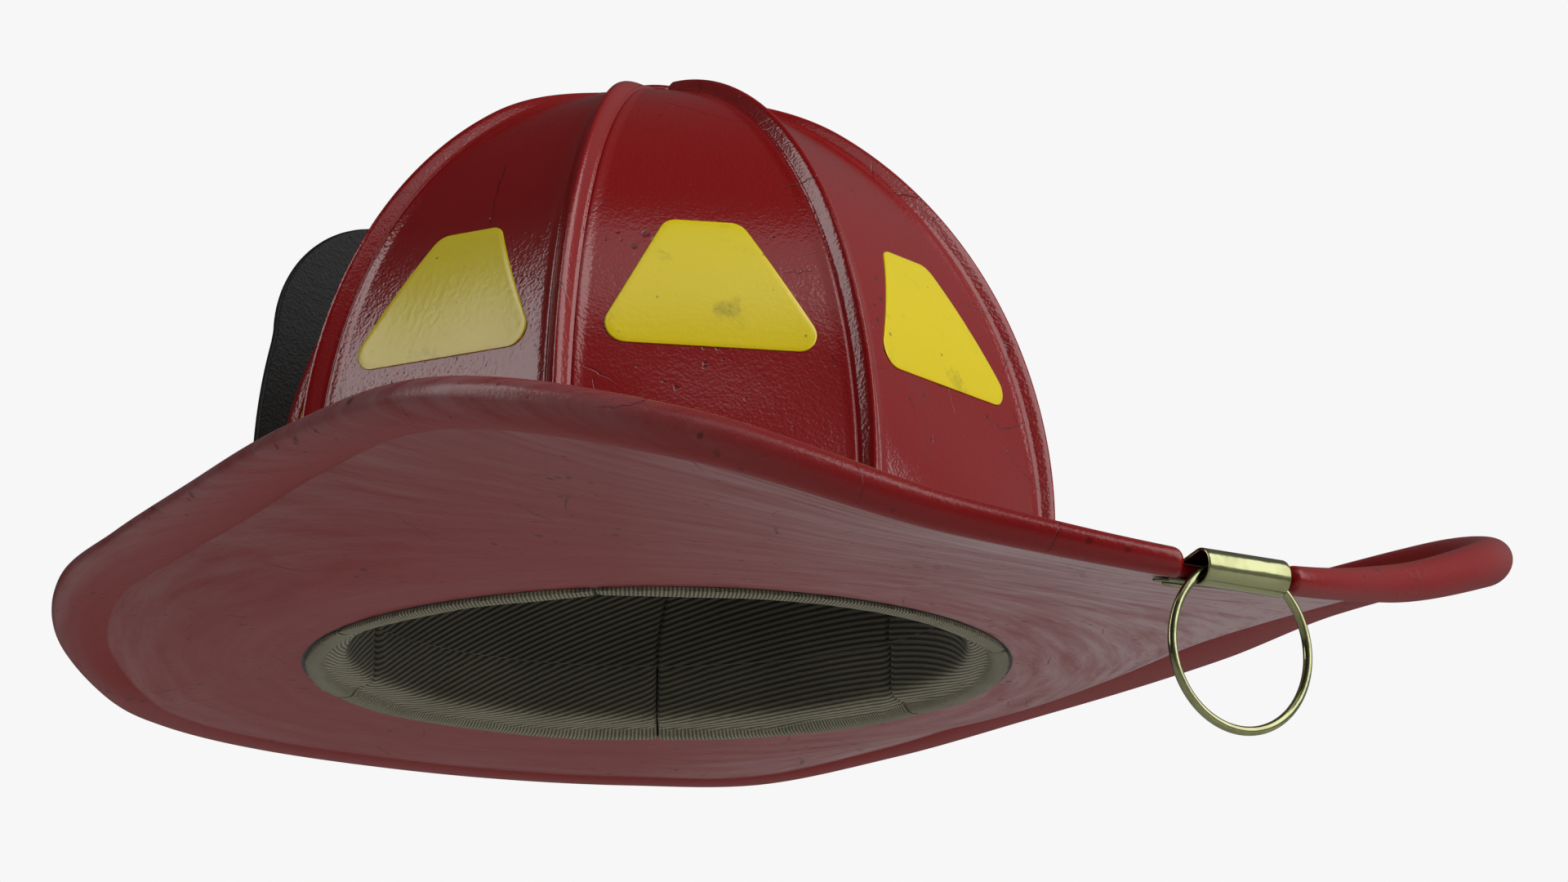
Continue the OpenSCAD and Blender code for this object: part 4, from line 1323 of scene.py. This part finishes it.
@dataclass
class Liner:
    """Padded corduroy liner: a ribbed dome lining and six sweat pads round the opening."""

    crown: Crown
    brim: Brim
    lining_sink: float = 15.0
    lining_wall: float = 1.5
    low: float = 21.0
    hem: float = 17.5
    flare: float = 52.0
    seam_depth: float = 1.4
    seam_half: float = 0.6
    seam_from: float = 20.0  # from the axis
    band: float = 1.5
    gap: float = 0.3
    slack: float = 4.0
    rim: float = 4.5
    drop: float = 2.0
    ledge: float = 6.0
    channel: float = 0.5
    pad_gap: float = -0.5
    core: float = 0.45  # height of a pad's middle, as a share
    end_draw: float = 0.06  # how far a pad is drawn in at its ends, as a share
    end_power: int = 40
    ends: tuple[float, ...] = (40.0, 93.0, 146.0)
    slant: tuple[float, float, float] = (0.491, 0.145, 0.859)  # direction across the ribs
    voxel: float = 1.3
    shrink: float = 0.4
    pressure: float = 4.0
    steps: int = 20
    swell: tuple[float, float] = (0.8, 0.5)  # most, and how much less on the face
    sewn: tuple[float, float, float, float] = (0.3, 0.7, 1.2, 0.8)  # place, half depth, half height, press
    pads: dict[str, tuple[float, float]] = field(init=False)

    def __post_init__(self) -> None:
        """Works out where each pad begins and ends."""
        rear, side, front = self.ends
        self.pads = {"rear": (-rear, rear), "rear_left": (rear, side), "front_left": (side, front),
                     "front": (front, 360 - front), "front_right": (360 - front, 360 - side),
                     "rear_right": (360 - side, 360 - rear)}

    def face(self, turn: Array) -> Array:
        """Distance from the axis to the pads' inner face, at angles from the rear in degrees."""
        return self.brim.oval(turn, self.band + self.gap + self.rim + self.ledge)

    def curve(self, sink: float, low: float, count: int) -> tuple[Array, Array]:
        """The crown's curve sunk inside it, from a lower edge to the middle of the top.

        Args:
            sink: distance inside the panels' outer face.
            low: height of the lower edge.
            count: number of points on the whole curve.

        Returns:
            Distances from the axis and heights.
        """
        out, height = self.crown.meridian(-sink, 0.5, count)
        above = height >= low
        return np.concatenate([out[:1], out[above], [0]]), np.concatenate([[low], height[above], height[-1:]])

    def lining(self) -> Piece:
        """Dome lining: the crown's curve sunk inside it, drawn in over the pads, with a seam above each gap.

        Below the flare each point moves to the pads' inner face by a smooth step of its height. A seam is a
        groove that falls off as a bell curve. The ribs are cut by parallel slanted planes, so their distance
        is a weighted sum of x, y and z.

        Returns:
            The new object.
        """
        seams = np.array([side * end for end in self.ends for side in (1, -1)])
        near = (90 - seams[:, None] + np.linspace(-1.5, 1.5, 25)).ravel()
        angle = np.unique(np.round(np.mod(np.concatenate([np.arange(0, 360, 1.5), near]), 360), 3))[:, None]
        inner = self.curve(self.lining_sink + self.lining_wall, self.hem, 130)
        out, height = looped(inner, self.curve(self.lining_sink, self.hem, 40))
        inside = np.arange(len(out)) < len(inner[0])
        out = out * self.crown.flat(angle, height)
        points = self.crown.placed(turned(angle, out, height))
        hem = self.face(90 - angle) + np.where(inside, -self.gap, self.lining_wall)
        hem = turned(angle, hem, height)
        points = points + smoothstep(self.flare, self.low, height)[:, None] * (hem - points)
        off = np.abs(np.mod(90 - angle - seams + 180, 360) - 180).min(axis=1, keepdims=True)
        groove = self.seam_depth * np.exp(-(np.radians(off) * out / self.seam_half) ** 2)
        groove = groove * inside * (out > self.seam_from)
        points = points + turned(angle, groove, 0 * out)
        # Painted shade: deep is 1 all over the lining, which darkens it.
        marks = {"cord": points @ np.array(self.slant), "along": 0 * groove, "roll": 0 * groove,
                 "deep": 1 + 0 * groove}
        return skin("dome_lining", points, ring=True, attributes=marks)

    def cap(self) -> Piece:
        """Foam shell between panels and lining: the crown's curve at two depths, turned and flattened with it.

        Returns:
            The new object.
        """
        angle = np.linspace(0, 360, 144, endpoint=False)[:, None]
        outer, inner = self.crown.wall + self.gap, self.lining_sink - self.slack
        out, height = looped(self.curve(outer, self.low, 60), self.curve(inner, self.low, 60))
        out = out * self.crown.flat(angle, height)
        return skin("foam_cap", self.crown.placed(turned(angle, out, height)), ring=True)

    def outline(self) -> Array:
        """Section of a pad: a low roll, a sewn channel, a ledge and an upright face, as a loop through corners.

        Returns:
            Depths from the headband and heights.
        """
        rim, channel, drop = self.rim, self.channel, self.drop
        top, face = self.low - self.gap, self.rim + self.ledge
        roll = [[-0.2, 0.5], [-2.0, -0.6], [-1.7, -drop * 0.8], [rim * 0.25, -drop], [rim * 0.7, -drop * 0.9],
                [rim, -drop * 0.3], [rim * 1.05, channel]]
        ledge = [[rim + self.ledge * 0.3, channel + 0.3], [face - 1.5, channel + 0.9],
                 [face - 0.3, channel + 2]]
        wall = [[face, channel + 4], [face, top - 1.5], [face - 1.2, top]]
        back = [[rim * 0.8, top - 0.2], [0.5, top - 1.5], [0, top * 0.5]]
        return resampled(np.array(roll + ledge + wall + back), 64)

    def pad(self, name: str) -> Piece:
        """One pad's starting shape: the outline carried round the head oval, drawn in at both ends.

        Args:
            name: which pad.

        Returns:
            The new object.
        """
        begin, end = self.pads[name]
        half = (end - begin) / 2 - math.degrees(self.pad_gap / 2 / self.brim.half_width)
        share = -np.cos(np.linspace(0, math.pi, 91))[:, None]
        fill = 1 - self.end_draw + self.end_draw * np.sqrt(1 - np.abs(share) ** self.end_power)
        outline = self.outline()
        middle = np.array([self.rim, (self.low - self.gap) * self.core])
        depth = middle[0] + (outline[:, 0] - middle[0]) * fill
        height = middle[1] + (outline[:, 1] - middle[1]) * fill
        turn = (begin + end) / 2 + half * share
        out = self.brim.oval(turn, self.band + self.gap + depth)
        return skin(f"pad_{name}", turned(90 - turn, out, height))

    def swelled(self, pad: Piece) -> Array:
        """Blows a pad up by cloth simulation with pressure inside and no gravity.

        Args:
            pad: the pad, on its fine grid.

        Returns:
            Where its points end up, in metres.
        """
        cloth = pad.modifiers.new("stuffing", "CLOTH")
        cloth.settings.use_pressure = True
        cloth.settings.uniform_pressure_force = self.pressure
        cloth.settings.effector_weights.gravity = 0
        cloth.settings.quality = 4
        scene = bpy.context.scene
        for step in range(1, self.steps + 1):
            scene.frame_set(step)
        grown = numbers(pad.evaluated_get(bpy.context.evaluated_depsgraph_get()).to_mesh().vertices, "co")
        pad.modifiers.clear()
        scene.frame_set(1)
        return grown

    def stuff(self, pad: Piece, name: str) -> Piece:
        """Fills a pad by cloth simulation, sews its channel, and marks its ribs.

        Each point moves as the cloth does, up to a limit, and the stitched line is pressed in as a bell curve.

        Args:
            pad: the pad's starting shape.
            name: the pad's name.

        Returns:
            The finished pad.
        """
        remesh = pad.modifiers.new("remesh", "REMESH")
        remesh.mode, remesh.voxel_size = "VOXEL", self.voxel * MM
        pad.data = settled(pad)
        rest = numbers(pad.data.vertices, "co")
        start = rest - self.shrink * MM * numbers(pad.data.vertex_normals, "vector")
        pad.data.vertices.foreach_set("co", start.ravel())
        move = self.swelled(pad) - start
        face, begin = self.rim + self.ledge, self.pads[name][0]
        turn = np.degrees(np.arctan2(start[:, 0], start[:, 1]))
        turn = np.where(turn < begin - 20, turn + 360, turn)
        hole = self.brim.oval(turn) - self.band - self.gap
        depth = hole - np.hypot(start[:, 0], start[:, 1]) / MM
        most, less = self.swell
        limit = (most - less * smoothstep(face - 2.5, face - 1, depth)) * MM
        far = np.maximum(np.linalg.norm(move, axis=1), 1e-9)
        place = (start + move * np.minimum(1, limit / far)[:, None]) / MM
        out = np.stack([np.sin(np.radians(turn)), np.cos(np.radians(turn))], axis=1)
        depth = hole - (place[:, :2] * out).sum(axis=1)
        behind, half_depth, half_height, pressed = self.sewn
        deep, high = (depth - self.rim - behind) / half_depth, (place[:, 2] - self.channel) / half_height
        place[:, 2] += pressed * np.exp(-deep ** 2 - high ** 2)
        climb = place[:, 2] + np.minimum(depth - face, 0)
        cord = (self.face(turn)[:, None] * out) @ np.array(self.slant[:2]) + self.slant[2] * climb
        # Painted shade: deep rises up the pad's wall inside, which darkens it.
        marks = {"cord": cord, "along": np.radians(turn) * hole,
                 "deep": smoothstep(self.channel + 0.8, self.channel + 5, climb),
                 "roll": smoothstep(self.rim + 0.5, self.rim - 0.1, depth)}
        pad.data.vertices.foreach_set("co", (place * MM).astype(np.float32).ravel())
        for key, value in marks.items():
            pad.data.attributes.new(key, "FLOAT", "POINT").data.foreach_set("value", value.astype(np.float32))
        pad.data.shade_smooth()
        pad.data.update()
        smooth = pad.modifiers.new("smooth", "SUBSURF")
        smooth.levels = smooth.render_levels = 1
        return pad

    def build(self, corduroy: Corduroy, ribbed: Corduroy, band: Moulding, foam: Moulding) -> None:
        """Builds and dresses the liner.

        Args:
            corduroy: finish of the sweat pads.
            ribbed: finish of the dome lining.
            band: finish of the headband.
            foam: finish of the impact cap.
        """
        cloth = corduroy.build()
        dress(self.lining(), ribbed.build(), Slot.LINING, "liner_dome")
        for name in self.pads:
            pad = dress(self.stuff(self.pad(name), name), cloth, Slot.CORDUROY, f"sweat_pad_{name}")
        keep(band.build(), Slot.BAND, "headband")
        dress(self.cap(), foam.build(), Slot.FOAM, "impact_cap")


def towards(azimuth: float, elevation: float) -> Vector:
    """Direction from the helmet to something that stands at an azimuth and elevation, in degrees."""
    a, e = math.radians(azimuth), math.radians(elevation)
    return Vector((math.sin(a) * math.cos(e), -math.cos(a) * math.cos(e), math.sin(e)))


@dataclass(frozen=True)
class Lamp:
    """One soft lamp that faces the helmet."""

    name: str
    azimuth: float
    elevation: float
    away: float
    size: tuple[float, float]
    watts: float
    mirrored: bool = True
    lights: bool = True
    aim: tuple[float, float, float] = (0.0, 0.05, 0.06)

    def hang(self) -> None:
        """Adds the lamp to the scene."""
        data = bpy.data.lights.new(self.name, "AREA")
        data.shape, data.energy = "RECTANGLE", self.watts
        data.size, data.size_y = self.size
        lamp = bpy.data.objects.new(self.name, data)
        back = towards(self.azimuth, self.elevation)
        lamp.location = Vector(self.aim) + back * self.away
        lamp.rotation_mode = "QUATERNION"
        lamp.rotation_quaternion = back.to_track_quat("Z", "Y")
        lamp.visible_glossy, lamp.visible_diffuse = self.mirrored, self.lights
        bpy.context.scene.collection.objects.link(lamp)


@dataclass
class Studio:
    """Pale floor, soft lamps, a white surround and the photograph's camera."""

    target: tuple[float, float, float] = (0.0, 65.778, 48.883)
    distance: float = 1640.1
    azimuth: float = 146.674
    elevation: float = -13.993
    roll: float = 0.231
    focal_px: float = 7729.64
    width_px: float = 1920.0
    floor_height: float = -450.0
    floor_half: float = 3000.0
    background: str = "#f7f7f7"
    floor_colour: str = "#e6e5e3"
    floor_roughness: float = 0.8
    floor_glow: float = 0.38
    soft_light: float = 0.21
    mirrored: tuple[float, float] = (0.04, 0.34)  # surround in gloss, on the left and right
    wall: tuple[float, float] = (-0.3, 0.95)  # where it turns from one to the other
    lamps: tuple[Lamp, ...] = (
        Lamp("key", 217, 32, 1.9, (1.7, 1.9), 27),
        Lamp("ceiling", 168, 56, 1.8, (1.3, 0.8), 2.6),
        Lamp("front", 8, 48, 1.9, (1.6, 1.2), 9, mirrored=False),
        Lamp("sheen_card", 77, 29, 1.6, (0.55, 1.7), 11, lights=False))

    def axes(self) -> tuple[Vector, Vector, Vector]:
        """The camera's axes, from its azimuth, elevation and roll.

        Returns:
            Its right, up and backward directions.
        """
        back, r = towards(self.azimuth, self.elevation), math.radians(self.roll)
        right = (-back).cross(Vector((0, 0, 1))).normalized()
        up = right.cross(-back)
        return right * math.cos(r) + up * math.sin(r), up * math.cos(r) - right * math.sin(r), back

    def camera(self) -> None:
        """Sets the camera at the photograph's view, with no shift and no depth of field."""
        data = bpy.data.cameras.new("photo_camera")
        data.sensor_width = 36.0
        data.lens = self.focal_px / self.width_px * data.sensor_width
        data.clip_start, data.clip_end = 0.05, 50.0
        camera = bpy.data.objects.new("photo_camera", data)
        right, up, back = self.axes()
        place = (Vector(self.target) + back * self.distance) * MM
        camera.matrix_world = Matrix.Translation(place) @ Matrix((right, up, back)).transposed().to_4x4()
        bpy.context.scene.collection.objects.link(camera)
        bpy.context.scene.camera = camera

    def floor(self) -> None:
        """Lays a plain pale floor under the helmet, out of the photograph's frame."""
        half, z = self.floor_half * MM, self.floor_height * MM
        corners = [(-half, -half, z), (half, -half, z), (half, half, z), (-half, half, z)]
        mesh = bpy.data.meshes.new("floor")
        mesh.from_pydata(corners, [], [(0, 1, 2, 3)])
        material, tree = new_material("Painted studio floor")
        # Matt paint rolled on a flat sheet. The camera sees it paler than the lamps make it, so it reads as a
        # white sweep that still shows the helmet's shadow.
        seen = add(tree, "Math", {1: self.floor_glow}, {0: add(tree, "LightPath")["Is Camera Ray"]},
                   operation="MULTIPLY")[0]
        matt = {"Base Color": linear(self.floor_colour), "Roughness": self.floor_roughness,
                "Emission Color": linear(self.background)}
        paint = add(tree, "BsdfPrincipled", matt, {"Emission Strength": seen})
        add(tree, "OutputMaterial", {}, {"Surface": paint[0]})
        mesh.materials.append(material)
        floor = bpy.data.objects.new("floor", mesh)
        bpy.context.scene.collection.objects.link(floor)

    def world(self) -> None:
        """Surrounds the set: white to the camera, and to gloss a pale wall on the right of a dim room."""
        world = bpy.data.worlds.new("studio")
        world.use_nodes = True
        bpy.context.scene.world = world
        tree = world.node_tree
        tree.nodes.clear()
        rays = add(tree, "LightPath")
        direction = add(tree, "TexCoord")["Generated"]
        aside = add(tree, "VectorMath", {1: tuple(self.axes()[0])}, {0: direction}, operation="DOT_PRODUCT")
        dim, pale = self.mirrored
        wall = add(tree, "MapRange", between(*self.wall) | {"To Min": dim, "To Max": pale},
                   {"Value": aside["Value"]}, interpolation_type="SMOOTHSTEP")[0]
        gloss = add(tree, "Math", {}, {0: rays["Is Glossy Ray"], 1: rays["Is Transmission Ray"]},
                    operation="MAXIMUM")
        light = add(tree, "Mix", {2: self.soft_light}, {0: gloss[0], 3: wall}, data_type="FLOAT")
        seen = add(tree, "Mix", {3: 1.0}, {0: rays["Is Camera Ray"], 2: light[0]}, data_type="FLOAT")
        shine = add(tree, "Background", {"Color": linear(self.background)}, {"Strength": seen[0]})
        add(tree, "OutputWorld", {}, {"Surface": shine[0]})

    def build(self) -> None:
        """Sets up camera, floor, surround and lamps."""
        self.camera()
        self.floor()
        self.world()
        for lamp in self.lamps:
            lamp.hang()
        bpy.context.scene.view_settings.view_transform = "Standard"


CROWN_LEATHER = Leather("Lacquered leather, red", "#8c0407", "#7c2024", "#2c0406", roughness=0.16, dust=0.06,
                        grain_depth_mm=0.04, pit_size=0.36)
COMB_LEATHER = Leather("Lacquered leather, rubbed combs", "#8e0407", "#7d2024", "#300405", roughness=0.19,
                       dust=0.08, grain_depth_mm=0.05, pit_size=0.3)
# The brim's dusty colour also paints a sheen, and its under colour paints shade.
BRIM_LEATHER = Leather("Lacquered leather, dusty brim", "#8a0508", "#b3989a", "#3a0809", roughness=0.26,
                       ior=1.42, dust=0.0, grain_depth_mm=0.045, pit_size=0.5, streak_mm=48.0,
                       under="#80090c")
SHIELD_LEATHER = Leather("Pebbled leather, black", "#060606", "#0f0e0d", "#030303", roughness=0.55, ior=1.34,
                         dust=0.1, grain_depth_mm=0.1, pit_size=0.03, scratch=0.2)
SHEET = ReflectiveSheet()
BRASS = Brass()
PAD_CLOTH = Corduroy("Corduroy, olive grey", "#9a967f", "#5c594a", rib_mm=1.4)
DOME_CLOTH = Corduroy("Corduroy, olive lining", "#8f8b78", "#4a473a", rib_mm=1.4)
BAND_PLASTIC = Moulding("Moulded plastic, black", "#22211f", "#2c2b28", roughness=0.55, bead_mm=1.2,
                        bead_depth_mm=0.05)
CAP_FOAM = Moulding("Foamed polystyrene, grey", "#4a4a48", "#5a5a57", roughness=0.8, bead_mm=3.0,
                    bead_depth_mm=0.2)


def main() -> None:
    """Builds the helmet piece by piece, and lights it."""
    logging.basicConfig(level=logging.INFO, format="%(name)s %(message)s")
    brass = BRASS.build()
    crown, brim = Crown(), Brim()
    crown.build(CROWN_LEATHER, COMB_LEATHER, SHEET)
    brim.build(BRIM_LEATHER)
    FrontShield().build(SHIELD_LEATHER, brass)
    Hanger().build(brass)
    Liner(crown, brim).build(PAD_CLOTH, DOME_CLOTH, BAND_PLASTIC, CAP_FOAM)
    Studio().build()


if __name__ == "__main__":
    main()
